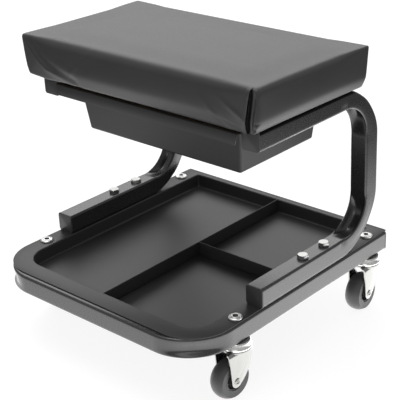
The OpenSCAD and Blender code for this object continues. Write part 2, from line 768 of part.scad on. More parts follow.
// Front outline of the pressed fork as [x, z]: an arch of sheet
module fork_arch() {
    w = fork_half_w;
    inner_r = fork_bend_r - fork_t;
    difference() {
        union() {
            translate([-w, 0]) square([2 * w, crown_z - fork_bend_r]);
            translate([-w + fork_bend_r, 0]) square([2 * (w - fork_bend_r), crown_z]);
            for (sx = [-1, 1]) translate([sx * (w - fork_bend_r), crown_z - fork_bend_r]) circle(fork_bend_r);
        }
        translate([-w + fork_t, -cut]) square([2 * (w - fork_t), crown_z - fork_bend_r + cut]);
        translate([-w + fork_bend_r, -cut]) square([2 * (w - fork_bend_r), crown_z - fork_t + cut]);
        for (sx = [-1, 1]) translate([sx * (w - fork_bend_r), crown_z - fork_bend_r]) circle(inner_r);
    }
}

module fork(i) {
    color("#d9dbde")
    at_caster(i) difference() {
        union() {
            intersection() {
                translate([0, crown_r, 0]) rotate([90, 0, 0])
                    linear_extrude(2 * crown_r + fork_front) fork_arch();
                translate([-crown_r, 0, 0]) rotate([90, 0, 90])
                    linear_extrude(2 * crown_r) fork_side();
            }
            translate([0, 0, crown_z - fork_t]) cylinder(r = crown_r, h = fork_t);
            translate([0, 0, crown_z - fork_t]) cylinder(r = crown_dome_r, h = fork_t + crown_dome);
        }
        translate([0, 0, crown_z - fork_t - cut]) cylinder(r = crown_dome_r - fork_t, h = crown_dome + cut);
        translate([0, 0, crown_z - fork_t - cut]) cylinder(r = crown_bore_r, h = crown_dome + fork_t + 2 * cut);
        // Mouth in the crown's leading edge, over the wheel
        translate([0, -fork_front - wheel_w / 4, crown_z - fork_t - cut])
            cylinder(r = wheel_w / 2, h = fork_t + 2 * cut);
        translate([0, -trail, axle_z]) rotate([0, 90, 0])
            cylinder(r = axle_r + axle_play / 2, h = 2 * fork_half_w + 2 * cut, center = true);
    }
}

module axle(i) {
    color("#c4c8cc")
    at_caster(i) translate([0, -trail, axle_z]) rotate([0, 90, 0]) {
        cylinder(r = axle_r, h = 2 * fork_half_w, center = true);
        for (sx = [-1, 1]) translate([0, 0, sx * (fork_half_w + axle_head_h / 2)])
            cylinder(r = axle_head_r, h = axle_head_h, center = true);
    }
}

module hub(i) {
    boss_h = wheel_w + fork_gap;
    rim_h = wheel_w - 2 * fork_gap - 2 * fork_t;
    rim_wall = 2.5;
    color("#4a4a4a")
    at_caster(i) translate([0, -trail, axle_z]) rotate([0, 90, 0]) difference() {
        union() {
            cylinder(r = hub_boss_r, h = boss_h, center = true);
            cylinder(r = hub_r, h = hub_web, center = true);
            difference() {
                cylinder(r = hub_r, h = rim_h, center = true);
                cylinder(r = hub_r - rim_wall, h = rim_h + 2 * cut, center = true);
            }
        }
        cylinder(r = hub_bore_r, h = boss_h + 2 * cut, center = true);
    }
}

module tyre(i) {
    face_dip = 0.8;
    h = wheel_w / 2;
    r = wheel_d / 2;
    color("#5a5a5a")
    at_caster(i) translate([0, -trail, axle_z]) rotate([0, 90, 0]) rotate_extrude($fn = 96) {
        translate([hub_r + tyre_seat_play, -h + face_dip])
            square([r - tyre_edge_r - hub_r - tyre_seat_play, wheel_w - 2 * face_dip]);
        translate([r - 2 * tyre_edge_r, -h]) square([tyre_edge_r, wheel_w]);
        translate([r - tyre_edge_r, -h + tyre_edge_r]) square([tyre_edge_r, wheel_w - 2 * tyre_edge_r]);
        for (s = [-1, 1]) translate([r - tyre_edge_r, s * (h - tyre_edge_r)]) circle(tyre_edge_r);
    }
}

module head_fl() head(0);
module head_fr() head(1);
module head_rl() head(2);
module head_rr() head(3);
module kingpin_fl() kingpin(0);
module kingpin_fr() kingpin(1);
module kingpin_rl() kingpin(2);
module kingpin_rr() kingpin(3);
module fork_fl() fork(0);
module fork_fr() fork(1);
module fork_rl() fork(2);
module fork_rr() fork(3);
module axle_fl() axle(0);
module axle_fr() axle(1);
module axle_rl() axle(2);
module axle_rr() axle(3);
module hub_fl() hub(0);
module hub_fr() hub(1);
module hub_rl() hub(2);
module hub_rr() hub(3);
module tyre_fl() tyre(0);
module tyre_fr() tyre(1);
module tyre_rl() tyre(2);
module tyre_rr() tyre(3);

base_frame();
rail_end_caps();
tray();
divider_long();
divider_cross();
leg_left();
leg_right();
leg_end_caps();
leg_bolts();
leg_nuts();
seat_board();
cushion();
seat_bolts();
tee_nuts();
runner_left();
runner_right();
runner_rivets();
drawer();
caster_bolts();
caster_nuts();
head_fl();
head_fr();
head_rl();
head_rr();
kingpin_fl();
kingpin_fr();
kingpin_rl();
kingpin_rr();
fork_fl();
fork_fr();
fork_rl();
fork_rr();
axle_fl();
axle_fr();
axle_rl();
axle_rr();
hub_fl();
hub_fr();
hub_rl();
hub_rr();
tyre_fl();
tyre_fr();
tyre_rl();
tyre_rr();
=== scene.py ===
# %% [markdown]
# # A rolling creeper seat
# A creeper seat is the low stool that a mechanic sits on beside a car. A square steel tube
# bent into a U carries a pressed tool tray and four casters, two bent tubes carry an
# upholstered pad, and a sheet steel drawer slides out under the pad.
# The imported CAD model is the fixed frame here. Pieces whose CAD shape is right get a finish,
# and the others are built again with the radii, folds and dents that the eye looks for.

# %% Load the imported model
import math
from contextlib import contextmanager

import bmesh
import bpy
import numpy as np
from mathutils import Matrix, Vector


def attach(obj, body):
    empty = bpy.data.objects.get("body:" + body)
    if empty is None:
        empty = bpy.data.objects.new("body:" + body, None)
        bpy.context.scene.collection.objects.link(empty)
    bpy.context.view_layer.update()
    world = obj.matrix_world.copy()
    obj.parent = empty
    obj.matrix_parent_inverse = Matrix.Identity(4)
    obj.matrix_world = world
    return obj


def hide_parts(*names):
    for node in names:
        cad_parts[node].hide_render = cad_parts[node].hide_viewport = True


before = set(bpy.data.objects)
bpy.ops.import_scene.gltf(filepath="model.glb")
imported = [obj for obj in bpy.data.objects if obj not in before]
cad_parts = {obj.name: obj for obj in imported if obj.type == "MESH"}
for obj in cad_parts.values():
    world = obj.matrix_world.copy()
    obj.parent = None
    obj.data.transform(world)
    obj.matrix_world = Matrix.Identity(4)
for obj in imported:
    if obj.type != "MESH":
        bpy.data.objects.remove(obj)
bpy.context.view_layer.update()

# %% [markdown]
# ## Camera and studio
# The photograph is a catalogue shot: a long lens, the camera above the right front corner,
# and the seat on a white sweep. The place and the angles were worked out from the straight
# edges of the tubes and the tray. Depth of field and shift stay off.

# %% Camera
scene = bpy.context.scene
MM = 0.001
CAMERA_PLACE = (909.8, -953.8, 766.6)
CAMERA_YAW, CAMERA_PITCH, CAMERA_ROLL = (math.radians(a) for a in (43.05, -24.52, -2.72))
IMAGE_WIDTH, FOCAL_PIXELS, SENSOR = 400, 1128.63, 36
CLIP_NEAR, CLIP_FAR = 0.05, 50


def in_scene(name, data):
    """A new object of the scene that shows the data."""
    thing = bpy.data.objects.new(name, data)
    scene.collection.objects.link(thing)
    return thing


camera = in_scene("camera", bpy.data.cameras.new("camera"))
camera.matrix_world = (
    Matrix.Translation(Vector(CAMERA_PLACE) * MM) @ Matrix.Rotation(CAMERA_YAW, 4, "Z")
    @ Matrix.Rotation(math.pi / 2 + CAMERA_PITCH, 4, "X") @ Matrix.Rotation(CAMERA_ROLL, 4, "Z"))
camera.data.sensor_width = SENSOR
camera.data.lens = FOCAL_PIXELS * SENSOR / IMAGE_WIDTH
camera.data.clip_start, camera.data.clip_end = CLIP_NEAR, CLIP_FAR
scene.camera = camera
scene.view_settings.view_transform = "Standard"
print("lens", round(camera.data.lens, 2), "mm")

# %% [markdown]
# Colours are written as sRGB hex values, as a paint chart gives them, and one function
# turns them into the linear values that the shader works with. A second one adds a node
# with its settings and its links, so that each finish below reads as a list.

# %% Colour and node helpers


def linear(code):
    """The linear colour of an sRGB hex code."""
    parts = [int(code[i:i + 2], 16) / 255 for i in (1, 3, 5)]
    return tuple(c / 12.92 if c <= 0.04045 else ((c + 0.055) / 1.055) ** 2.4 for c in parts) + (1,)


def output(source):
    """The first output of a node, or else what was given."""
    return source.outputs[0] if isinstance(source, bpy.types.Node) else source


def add(tree, kind, settings=None, **inputs):
    """One node: settings are its own properties, and each input is a value, a node or an output to link."""
    node = tree.nodes.new(kind)
    for name, value in (settings or {}).items():
        setattr(node, name, value)
    for name, value in inputs.items():
        numbered = name[0] == "n" and name[1:].isdigit()
        socket = node.inputs[int(name[1:]) if numbered else name.replace("_", " ")]
        if isinstance(output(value), bpy.types.NodeSocket):
            tree.links.new(output(value), socket)
        else:
            socket.default_value = value
    return node


def new_material(name):
    """An empty material, its node tree and the place on the object that its textures follow."""
    material = bpy.data.materials.new(name)
    material.use_nodes = True
    tree = material.node_tree
    tree.nodes.clear()
    return material, tree, add(tree, "ShaderNodeTexCoord").outputs["Object"]


# %% [markdown]
# The sweep is white to the camera, to mirrors and to clear things, by the Light Path node,
# and it keeps the soft shadow of the seat. What lights the seat is a plain grey world and
# three soft boxes: a wide one behind on the left, whose sheen lies on the pad and the tray,
# one overhead and a weak one in front. In mirrors the sweep is brightest under the seat and
# behind it on the right, and it fades out a metre away.

# %% World and floor
FLOOR_SIZE = 14.0
WORLD_FILL, WORLD_MIRRORED, WORLD_SEEN = 0.42, 0.55, 1.0
PAPER_GLOW = 0.88
BRIGHT_REACH, BRIGHTNESS = (0.25, 0.95), (2.2, 0.15)
BRIGHT_WAY, SIDE_REACH, SIDE_SHARE = (0.64, 0.77, 0), (-0.35, 0.30), (0.92, 1.55)


def by_ray(tree, lighting, mirrored, seen):
    """One shader for the light on things, one for what they mirror, and one for the camera."""
    path = add(tree, "ShaderNodeLightPath").outputs
    clear = add(tree, "ShaderNodeMath", {"operation": "MAXIMUM"}, n0=path["Is Camera Ray"],
                n1=path["Is Transmission Ray"])
    rest = add(tree, "ShaderNodeMixShader", n0=path["Is Glossy Ray"], n1=lighting, n2=mirrored)
    return add(tree, "ShaderNodeMixShader", n0=clear, n1=rest, n2=seen)


world = bpy.data.worlds.new("studio")
scene.world = world
world.use_nodes = True
sky = world.node_tree
sky.nodes.clear()
skies = [add(sky, "ShaderNodeBackground", Color=linear("#ffffff"), Strength=strength)
         for strength in (WORLD_FILL, WORLD_MIRRORED, WORLD_SEEN)]
add(sky, "ShaderNodeOutputWorld", Surface=by_ray(sky, *skies))

sweep, tree, where = new_material("white_paper_sweep")
distance = add(tree, "ShaderNodeVectorMath", {"operation": "LENGTH"}, n0=where)
across = add(tree, "ShaderNodeVectorMath", {"operation": "DOT_PRODUCT"}, n0=where, n1=BRIGHT_WAY)
near = add(tree, "ShaderNodeMapRange", {"interpolation_type": "SMOOTHSTEP"}, Value=distance.outputs["Value"],
           From_Min=BRIGHT_REACH[0], From_Max=BRIGHT_REACH[1], To_Min=BRIGHTNESS[0], To_Max=BRIGHTNESS[1])
lit_side = add(tree, "ShaderNodeMapRange", {"interpolation_type": "SMOOTHSTEP"}, Value=across.outputs["Value"],
               From_Min=SIDE_REACH[0], From_Max=SIDE_REACH[1], To_Min=SIDE_SHARE[0], To_Max=SIDE_SHARE[1])
shine = add(tree, "ShaderNodeMath", {"operation": "MULTIPLY"}, n0=near, n1=lit_side)
paper, paper_seen = (add(tree, "ShaderNodeBsdfDiffuse", Color=linear(c)) for c in ("#e8e8e8", "#808080"))
glow, sheen = (add(tree, "ShaderNodeEmission", Color=linear("#ffffff"), Strength=strength)
               for strength in (PAPER_GLOW, shine))
to_camera = add(tree, "ShaderNodeAddShader", n0=paper_seen, n1=glow)
add(tree, "ShaderNodeOutputMaterial", Surface=by_ray(tree, paper, sheen, to_camera))

floor_mesh = bpy.data.meshes.new("floor")
half = FLOOR_SIZE / 2
floor_mesh.from_pydata([(-half, -half, 0), (half, -half, 0), (half, half, 0), (-half, half, 0)], [],
                       [(0, 1, 2, 3)])
floor_mesh.materials.append(sweep)
floor = in_scene("floor", floor_mesh)

# %% Soft boxes
AIM = Vector((0, 0, 0.22))


def soft_box(name, direction, reach, width, height, power):
    """An area lamp of that size, reach metres from the seat and turned to it."""
    lamp = bpy.data.lights.new(name, "AREA")
    lamp.shape, lamp.size, lamp.size_y, lamp.energy = "RECTANGLE", width, height, power
    holder = in_scene(name, lamp)
    way = Vector(direction).normalized()
    holder.location = AIM + way * reach
    holder.rotation_euler = way.to_track_quat("Z", "Y").to_euler()
    holder.visible_camera = False


soft_box("box_back_left", (-0.65, 0.63, 0.56), 2.2, 2.2, 1.2, 16)
soft_box("box_overhead", (-0.1, -0.1, 1.0), 2.4, 1.6, 1.6, 26)
soft_box("box_front", (0.5, -0.8, 0.45), 2.8, 1.4, 1.0, 7)

# %% [markdown]
# ## Helpers for making meshes
# A tube, a pan or a wheel is a row of rings that are joined one to the next. The helpers
# below join rings, put a mesh into the scene in metres, with smooth shading that breaks only
# at real edges, and settle a finished piece on its body.

# %% Mesh helpers
MERGE_GAP = 1e-6
SHARP = 35


def joined_rings(rings, closed=False, caps=True):
    """Points and quads of a skin through rings of equal length. closed joins the last to the first."""
    rings = np.asarray(rings, float)
    rows, count, _ = rings.shape
    faces = [(a * count + i, a * count + (i + 1) % count, b * count + (i + 1) % count, b * count + i)
             for a in range(rows if closed else rows - 1) for b in [(a + 1) % rows] for i in range(count)]
    if caps and not closed:
        faces.append(tuple(range(count))[::-1])
        faces.append(tuple(range((rows - 1) * count, rows * count)))
    return rings.reshape(-1, 3), faces


@contextmanager
def edited(mesh):
    """Opens a mesh for editing and writes it back after that."""
    bm = bmesh.new()
    bm.from_mesh(mesh)
    yield bm
    bm.to_mesh(mesh)
    bm.free()


def clean(mesh):
    """Merges doubles, which drops the flat faces at poles, and turns every face outwards."""
    with edited(mesh) as bm:
        bmesh.ops.remove_doubles(bm, verts=bm.verts, dist=MERGE_GAP)
        bmesh.ops.recalc_face_normals(bm, faces=bm.faces)


def shade(mesh, sharp):
    """Smooth shading that breaks where faces meet at more than sharp degrees."""
    mesh.polygons.foreach_set("use_smooth", [True] * len(mesh.polygons))
    mesh.set_sharp_from_angle(angle=math.radians(sharp))


def made(name, solid, material, sharp=SHARP):
    """A piece from points in millimetres and faces, shaded smooth up to the sharp angle."""
    points, faces = solid
    mesh = bpy.data.meshes.new(name)
    mesh.from_pydata((np.asarray(points) * MM).tolist(), [], faces)
    clean(mesh)
    mesh.materials.append(material)
    shade(mesh, sharp)
    return in_scene(name, mesh)


def applied(piece):
    """The piece with its modifiers made real, as a plain mesh."""
    graph = bpy.context.evaluated_depsgraph_get()
    mesh = bpy.data.meshes.new_from_object(piece.evaluated_get(graph), preserve_all_data_layers=True,
                                           depsgraph=graph)
    piece.modifiers.clear()
    piece.data = mesh
    return piece


def settle(piece, body, node):
    """The piece rides on its body and stands for a CAD node, which it hides."""
    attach(piece, body)
    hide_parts(node)
    print(piece.name, len(piece.data.polygons), "faces")


# %% [markdown]
# ## Finish: black powder coat
# The tubes, the tray and the drawer are mild steel with a baked polyester powder coat. It
# is a dark grey in strong light rather than a pure black, and it flows into a faint orange
# peel. The peel of a real coat repeats every millimetre or two; here it is 2.4 mm so that
# it shows at all. The tubes come out glossier than the sheet pieces. A number on the
# points marks a band of painted shade along the top of each leg tube under the pad, where
# no light falls: there the coat is painted near black and reflects little.

# %% Powder coat


def powder_coat(name, low_rough, high_rough, index, shaded_under_pad=False):
    """Clouds of tone, grit that wanders in roughness, and the peel as a bump with the grit on it.

    A coat with painted shade turns near black and reflects little where the number on its mesh says so."""
    material, tree, where = new_material(name)
    peel_mm, grit_mm, cloud_mm = 2.4, 0.8, 70
    peel, grit, cloud = (
        add(tree, "ShaderNodeTexNoise", Vector=where, Scale=1 / (size * MM), Detail=detail).outputs["Fac"]
        for size, detail in ((peel_mm, 2.0), (grit_mm, 1.0), (cloud_mm, 3.0)))
    tone = add(tree, "ShaderNodeMix", {"data_type": "RGBA"}, n0=cloud, n6=linear("#222223"),
               n7=linear("#292929"))
    gloss = add(tree, "ShaderNodeMapRange", Value=grit, From_Min=0.3, From_Max=0.7, To_Min=low_rough,
                To_Max=high_rough)
    bump = add(tree, "ShaderNodeBump", Height=peel, Strength=0.13, Distance=0.06 * MM)
    fine = add(tree, "ShaderNodeBump", Height=grit, Strength=0.16, Distance=0.03 * MM, Normal=bump)
    shader = add(tree, "ShaderNodeBsdfPrincipled", Base_Color=tone.outputs[2], Roughness=gloss, IOR=index,
                 Normal=fine)
    if shaded_under_pad:
        # Painted shade: where the number is 1, the colour turns near black and the specular level falls.
        under_pad_shade = add(tree, "ShaderNodeAttribute", {"attribute_name": "under_pad_shade"}).outputs["Fac"]
        shaded_tone = add(tree, "ShaderNodeMix", {"data_type": "RGBA"}, n0=under_pad_shade, n6=tone.outputs[2],
                     n7=linear("#060606"))
        shine = add(tree, "ShaderNodeMapRange", Value=under_pad_shade, To_Min=0.5, To_Max=0.03)
        tree.links.new(shaded_tone.outputs[2], shader.inputs["Base Color"])
        tree.links.new(output(shine), shader.inputs["Specular IOR Level"])
    add(tree, "ShaderNodeOutputMaterial", Surface=shader)
    return material


coat = powder_coat("glossy_black_powder_coat_on_tube", 0.22, 0.30, 1.6, shaded_under_pad=True)
sheet_coat = powder_coat("satin_black_powder_coat_on_sheet", 0.40, 0.50, 1.5)
drawer_coat = powder_coat("matt_black_powder_coat_on_drawer", 0.42, 0.52, 1.42)

# %% [markdown]
# ## Finish: moulded plastics and rubber
# The plugs in the tube ends are low density polyethylene, waxy and a little matt. The
# wheel centres are polypropylene, which moulds glossier, and the treads are a dark grey
# rubber that scatters light and holds dust in its pores.

# %% Plastics and rubber


def moulded(name, dark, pale, rough, speckle_mm, bump_mm, index):
    """Two close tones, a speckle of the mould's texture and its bump."""
    material, tree, where = new_material(name)
    speckle = add(tree, "ShaderNodeTexNoise", Vector=where, Scale=1 / (speckle_mm * MM),
                  Detail=3.0).outputs["Fac"]
    tone = add(tree, "ShaderNodeMix", {"data_type": "RGBA"}, n0=speckle, n6=linear(dark), n7=linear(pale))
    gloss = add(tree, "ShaderNodeMapRange", Value=speckle, From_Min=0.3, From_Max=0.7,
                To_Min=rough - 0.05, To_Max=rough + 0.05)
    bump = add(tree, "ShaderNodeBump", Height=speckle, Strength=0.3, Distance=bump_mm * MM)
    shader = add(tree, "ShaderNodeBsdfPrincipled", Base_Color=tone.outputs[2], Roughness=gloss, IOR=index,
                 Normal=bump)
    add(tree, "ShaderNodeOutputMaterial", Surface=shader)
    return material


cap_plastic = moulded("black_moulded_polyethylene", "#2f2f2f", "#393939", 0.46, 1.5, 0.04, 1.51)
hub_plastic = moulded("dark_grey_moulded_polypropylene", "#454545", "#4d4d4d", 0.38, 2.0, 0.04, 1.49)
tread_rubber = moulded("dark_grey_vulcanised_rubber", "#3e3e3e", "#474747", 0.55, 1.2, 0.05, 1.52)

# %% [markdown]
# ## Finish: zinc plating
# Bolts, runners and casters are steel with electroplated zinc. Barrel plated fasteners
# are a soft grey mirror with rubbing marks. The pressed casters are plated bright and
# read as nearly white on a white sweep. A metal keeps the default index of refraction.

# %% Zinc


def zinc(name, dark, pale, rough, streak_mm):
    """Tones and roughness that wander along faint streaks of the draw."""
    material, tree, where = new_material(name)
    drawn = add(tree, "ShaderNodeMapping", Vector=where, Scale=(1.0, 1.0, 0.35))
    streak = add(tree, "ShaderNodeTexNoise", Vector=drawn, Scale=1 / (streak_mm * MM),
                 Detail=4.0).outputs["Fac"]
    tone = add(tree, "ShaderNodeMix", {"data_type": "RGBA"}, n0=streak, n6=linear(dark), n7=linear(pale))
    gloss = add(tree, "ShaderNodeMapRange", Value=streak, From_Min=0.3, From_Max=0.7,
                To_Min=rough - 0.05, To_Max=rough + 0.06)
    bump = add(tree, "ShaderNodeBump", Height=streak, Strength=0.2, Distance=0.01 * MM)
    shader = add(tree, "ShaderNodeBsdfPrincipled", Base_Color=tone.outputs[2], Metallic=1.0,
                 Roughness=gloss, Normal=bump)
    add(tree, "ShaderNodeOutputMaterial", Surface=shader)
    return material


bolt_zinc = zinc("zinc_plated_fastener_steel", "#a2a2a0", "#b0b0ae", 0.30, 5.0)
head_zinc = zinc("zinc_plated_round_bolt_heads", "#dededc", "#eaeae8", 0.34, 5.0)
axle_zinc_and_hole_shade = zinc("zinc_plated_axle_rivets_and_hole_shade", "#7e7e7c", "#8c8c8a", 0.30, 5.0)
cup_zinc = zinc("bright_zinc_plated_race_cups", "#cfcfcd", "#dadad8", 0.24, 6.0)
sheet_zinc = zinc("zinc_plated_sheet_steel", "#a9abad", "#b9bbbd", 0.34, 9.0)
caster_zinc = zinc("bright_zinc_plated_pressed_steel", "#858583", "#929290", 0.24, 6.0)

# %% [markdown]
# ## Finish: birch plywood
# The seat board is only seen from below: pale birch veneers 1.4 mm thick, whose edge shows
# them as light and dark layers, with a fine grain along the length of the seat.

# %% Plywood


def birch_plywood():
    material, tree, where = new_material("birch_plywood")
    veneer_mm, grain_mm = 1.4, 4.0
    along = add(tree, "ShaderNodeMapping", Vector=where, Scale=(0.06, 1.0, 1.0))
    grain = add(tree, "ShaderNodeTexNoise", Vector=along, Scale=1 / (grain_mm * MM), Detail=5.0,
                Distortion=0.4).outputs["Fac"]
    layers = add(tree, "ShaderNodeTexWave", {"bands_direction": "Z"}, Vector=where,
                 Scale=math.pi / (10 * veneer_mm * MM), Distortion=0.3)
    face = add(tree, "ShaderNodeMix", {"data_type": "RGBA"}, n0=grain, n6=linear("#b98f60"),
               n7=linear("#d9b88c"))
    tone = add(tree, "ShaderNodeMix", {"data_type": "RGBA", "blend_type": "MULTIPLY"}, n0=0.25,
               n6=face.outputs[2], n7=layers.outputs["Color"])
    bump = add(tree, "ShaderNodeBump", Height=grain, Strength=0.3, Distance=0.1 * MM)
    shader = add(tree, "ShaderNodeBsdfPrincipled", Base_Color=tone.outputs[2], Roughness=0.62, IOR=1.5,
                 Normal=bump)
    add(tree, "ShaderNodeOutputMaterial", Surface=shader)
    return material


plywood = birch_plywood()

# %% [markdown]
# ## Finish: upholstery vinyl
# The pad is covered with black calendered PVC on a woven back. Its embossed grain is fine,
# under a millimetre on the real cover and drawn at 1.3 mm here, so the sheen of the big
# soft box spreads into a broad grey glow instead of a mirror image.

# %% Vinyl


def vinyl():
    material, tree, where = new_material("black_calendered_vinyl_cover")
    grain_mm, stretch_mm = 1.3, 38
    grain = add(tree, "ShaderNodeTexVoronoi", {"feature": "SMOOTH_F1"}, Vector=where,
                Scale=1 / (grain_mm * MM), Smoothness=0.6).outputs["Distance"]
    stretch = add(tree, "ShaderNodeTexNoise", Vector=where, Scale=1 / (stretch_mm * MM),
                  Detail=3.0).outputs["Fac"]
    tone = add(tree, "ShaderNodeMix", {"data_type": "RGBA"}, n0=stretch, n6=linear("#2f2e2e"),
               n7=linear("#373636"))
    gloss = add(tree, "ShaderNodeMapRange", Value=grain, From_Min=0.0, From_Max=0.8, To_Min=0.42, To_Max=0.5)
    bump = add(tree, "ShaderNodeBump", Height=grain, Strength=0.35, Distance=0.05 * MM)
    shader = add(tree, "ShaderNodeBsdfPrincipled", Base_Color=tone.outputs[2], Roughness=gloss, IOR=1.54,
                 Normal=bump)
    add(tree, "ShaderNodeOutputMaterial", Surface=shader)
    return material


cover_vinyl = vinyl()
print("materials", len(bpy.data.materials))

# %% [markdown]
# ## Bent square tubes
# Square tube that is bent on a rotary bender does not keep its section. The outer wall
# stretches and sinks, the inner wall is pressed into a deep smooth trough by the former,
# and small crimps stand beside each end of the bend where the side walls had too much
# metal. The tube is swept here ring by ring, and each ring is changed by how far it is
# round its bend, which gives the same form as the tool does.

# %% Section of the tube
TUBE_SIDE, TUBE_WALL, TUBE_EDGE = 25.0, 1.8, 3.0
HALF_SIDE = TUBE_SIDE / 2
EDGE_POINTS, WALL_POINTS = 6, 14


def arc(centre, radius, start, end, steps):
    """Points of an arc in a plane, angles in degrees."""
    return [(centre[0] + radius * math.cos(math.radians(g)), centre[1] + radius * math.sin(math.radians(g)))
            for g in np.linspace(start, end, steps + 1)]


def square_section(side, radius):
    """Points of a rounded square as (across, outward), outward first."""
    reach, points = side / 2 - radius, []
    corners = [arc((sx * reach, sy * reach), radius, start, start + 90, EDGE_POINTS)
               for sx, sy, start in ((1, 1, 0), (-1, 1, 90), (-1, -1, 180), (1, -1, 270))]
    for corner, after in zip(corners, corners[1:] + corners[:1]):
        points += corner + list(np.linspace(corner[-1], after[0], WALL_POINTS + 1)[1:-1])
    return np.array(points)


# %% Swept tube


def smooth(t):
    """Goes from 0 to 1 with soft ends."""
    t = np.clip(t, 0, 1)
    return t * t * (3 - 2 * t)


def two_bends(run, rise, radius, fine=2.0, coarse=14.0, spill=26.0):
    """Stations of a path with two right angle bends between equal runs.

    Each is a place, an angle, the length since each bend began, and the length of a bend.
    Stations stand close together in the bends and as far as spill beside them."""
    bend = math.pi * radius / 2
    starts = [run, run + bend + rise]
    total = starts[1] + bend + run
    lengths, s = [0.0], 0.0
    while s < total - 0.5 * fine:
        if any(start - spill <= s < start + bend + spill for start in starts):
            s += fine
        else:
            s += min([coarse] + [start - spill - s for start in starts if start - spill > s + 0.01])
        lengths.append(min(s, total))
    s = np.array(lengths)
    since = [s - start for start in starts]
    angle = sum(np.clip(length, 0, bend) for length in since) / radius
    along = np.minimum(s, run) - np.maximum(since[1] - bend, 0) + radius * np.sin(angle)
    up = np.clip(since[0] - bend, 0, rise) + radius - radius * np.cos(angle)
    return [(*station, bend) for station in zip(along, up, angle, *since)]


def swept(stations, section, change):
    """Rings along a path. change gives each ring the section that it has at its place on the path."""
    rings = []
    for u, v, angle, since_a, since_b, bend in stations:
        across, outward = change(section[:, 0], section[:, 1], since_a, since_b, bend)
        rings.append(np.stack([u + outward * math.sin(angle), across, v - outward * math.cos(angle)], 1))
    return rings


def tube(name, stations, change, place):
    """A hollow tube with open ends, put in place by a function of each ring."""
    outer = swept(stations, square_section(TUBE_SIDE, TUBE_EDGE), change)
    inner = swept(stations, square_section(TUBE_SIDE - 2 * TUBE_WALL, TUBE_EDGE - TUBE_WALL), change)
    return made(name, joined_rings([place(r) for r in outer + inner[::-1]], closed=True), coat, sharp=50)


def bend_share(since, bend, ramp, spill):
    """How much of the full change a ring has: none on the straights, all in the middle of a bend."""
    t = since / bend
    return smooth(min(t + spill, 1 + spill - t) / (ramp + spill))


# %% [markdown]
# ### Seat legs
# Each leg is one tube bent into a C. Its lower run is bolted down through the tray, and
# its upper run carries the seat board. The access holes under the upper run let a socket
# reach the seat bolts, so they are cut through the lower wall only.

# %% Legs
LEG_X, LEG_FRONT_Y, LEG_BACK_Y = 165.0, -70.0, 162.5
RIM_Z, LEG_TOP = 100.7, 321.7
LEG_BEND = 45.0 + HALF_SIDE
LEG_SINK, LEG_GROOVE, LEG_SWELL = 5.0, 10.0, 0.5  # of the outer, the inner and the side walls
CRIMPS = ((-1.2, 0.6), (0.0, 1.0), (1.2, 0.9), (2.4, 0.5))  # place in steps from the bend's end, and share
CRIMP_DEPTH, CRIMP_STEP, CRIMP_WIDTH = 1.7, 3.2, 1.1
PAD_Y, SEAT_BOLT_Y, ACCESS_RADIUS = 14.0, 55.0, 7.0
SHADE_LOW_Z, SHADE_SLOPE, SHADE_END_Y = 315.6, 1.7 / 180, 126  # the lower edge of the band of painted shade under the pad, and its back end


def ridge(value, centre, width):
    """Is 1 where a value is at the centre, and fades out on both sides."""
    return np.exp(-((value - centre) / width) ** 2)


def crimps(since, bend, out_share, at_start, at_end):
    """Depth in millimetres of the little folds beside the ends of a bend, on the side walls."""
    depth = 0.0
    for end, way, share in ((0.0, -1, at_start), (bend, 1, at_end)):
        for k, strength in CRIMPS:
            depth += share * strength * ridge(since - end, way * k * CRIMP_STEP, CRIMP_WIDTH)
    return CRIMP_DEPTH * depth * ridge(out_share, -0.8, 0.40)


def leg_change(across, outward, since_a, since_b, bend):
    share = max(bend_share(since, bend, 0.4, 0.06) for since in (since_a, since_b))
    flat = np.clip(1 - np.abs(across / (HALF_SIDE - 0.8)) ** 3.2, 0, 1)
    out_share = outward / HALF_SIDE
    depth = np.where(outward > 0, LEG_SINK, LEG_GROOVE * flat ** 1.15)
    fold = crimps(since_a, bend, out_share, 0.8, 0.15) + crimps(since_b, bend, out_share, 0.15, 1.0)
    side = np.sign(across) * smooth((np.abs(across) - HALF_SIDE + 4) / 4)
    swell = LEG_SWELL * share * ridge(out_share, -0.35, 0.5)
    return across + side * (swell - fold), outward - share * out_share * depth


# %% Cutting holes, and numbers on points


def cylinder_along_z(base, radius, height):
    """A plain cylinder that stands on its base point."""
    angle = np.linspace(0, 2 * math.pi, 48, endpoint=False)
    return joined_rings([[(base[0] + radius * math.cos(g), base[1] + radius * math.sin(g), base[2] + z)
                          for g in angle] for z in (0, height)])


def together(*solids):
    """Several sets of points and faces as one."""
    points, faces, start = [], [], 0
    for p, f in solids:
        points.append(np.asarray(p, float))
        faces += [tuple(i + start for i in face) for face in f]
        start += len(p)
    return np.concatenate(points), faces


def cut_with(piece, solid, sharp):
    """Cuts a solid out of a piece."""
    cutter = made("cutter", solid, piece.data.materials[0])
    knife = piece.modifiers.new("holes", "BOOLEAN")
    knife.operation, knife.solver, knife.object = "DIFFERENCE", "EXACT", cutter
    applied(piece)
    bpy.data.objects.remove(cutter)
    shade(piece.data, sharp)


def coordinates(mesh):
    """The points of a mesh as an array, in metres."""
    found = np.empty(len(mesh.vertices) * 3)
    mesh.vertices.foreach_get("co", found)
    return found.reshape(-1, 3)


def set_numbers(mesh, name, values):
    """Writes a number on each point of a mesh."""
    mesh.attributes.new(name, "FLOAT", "POINT").data.foreach_set("value", values)


# %% The two legs


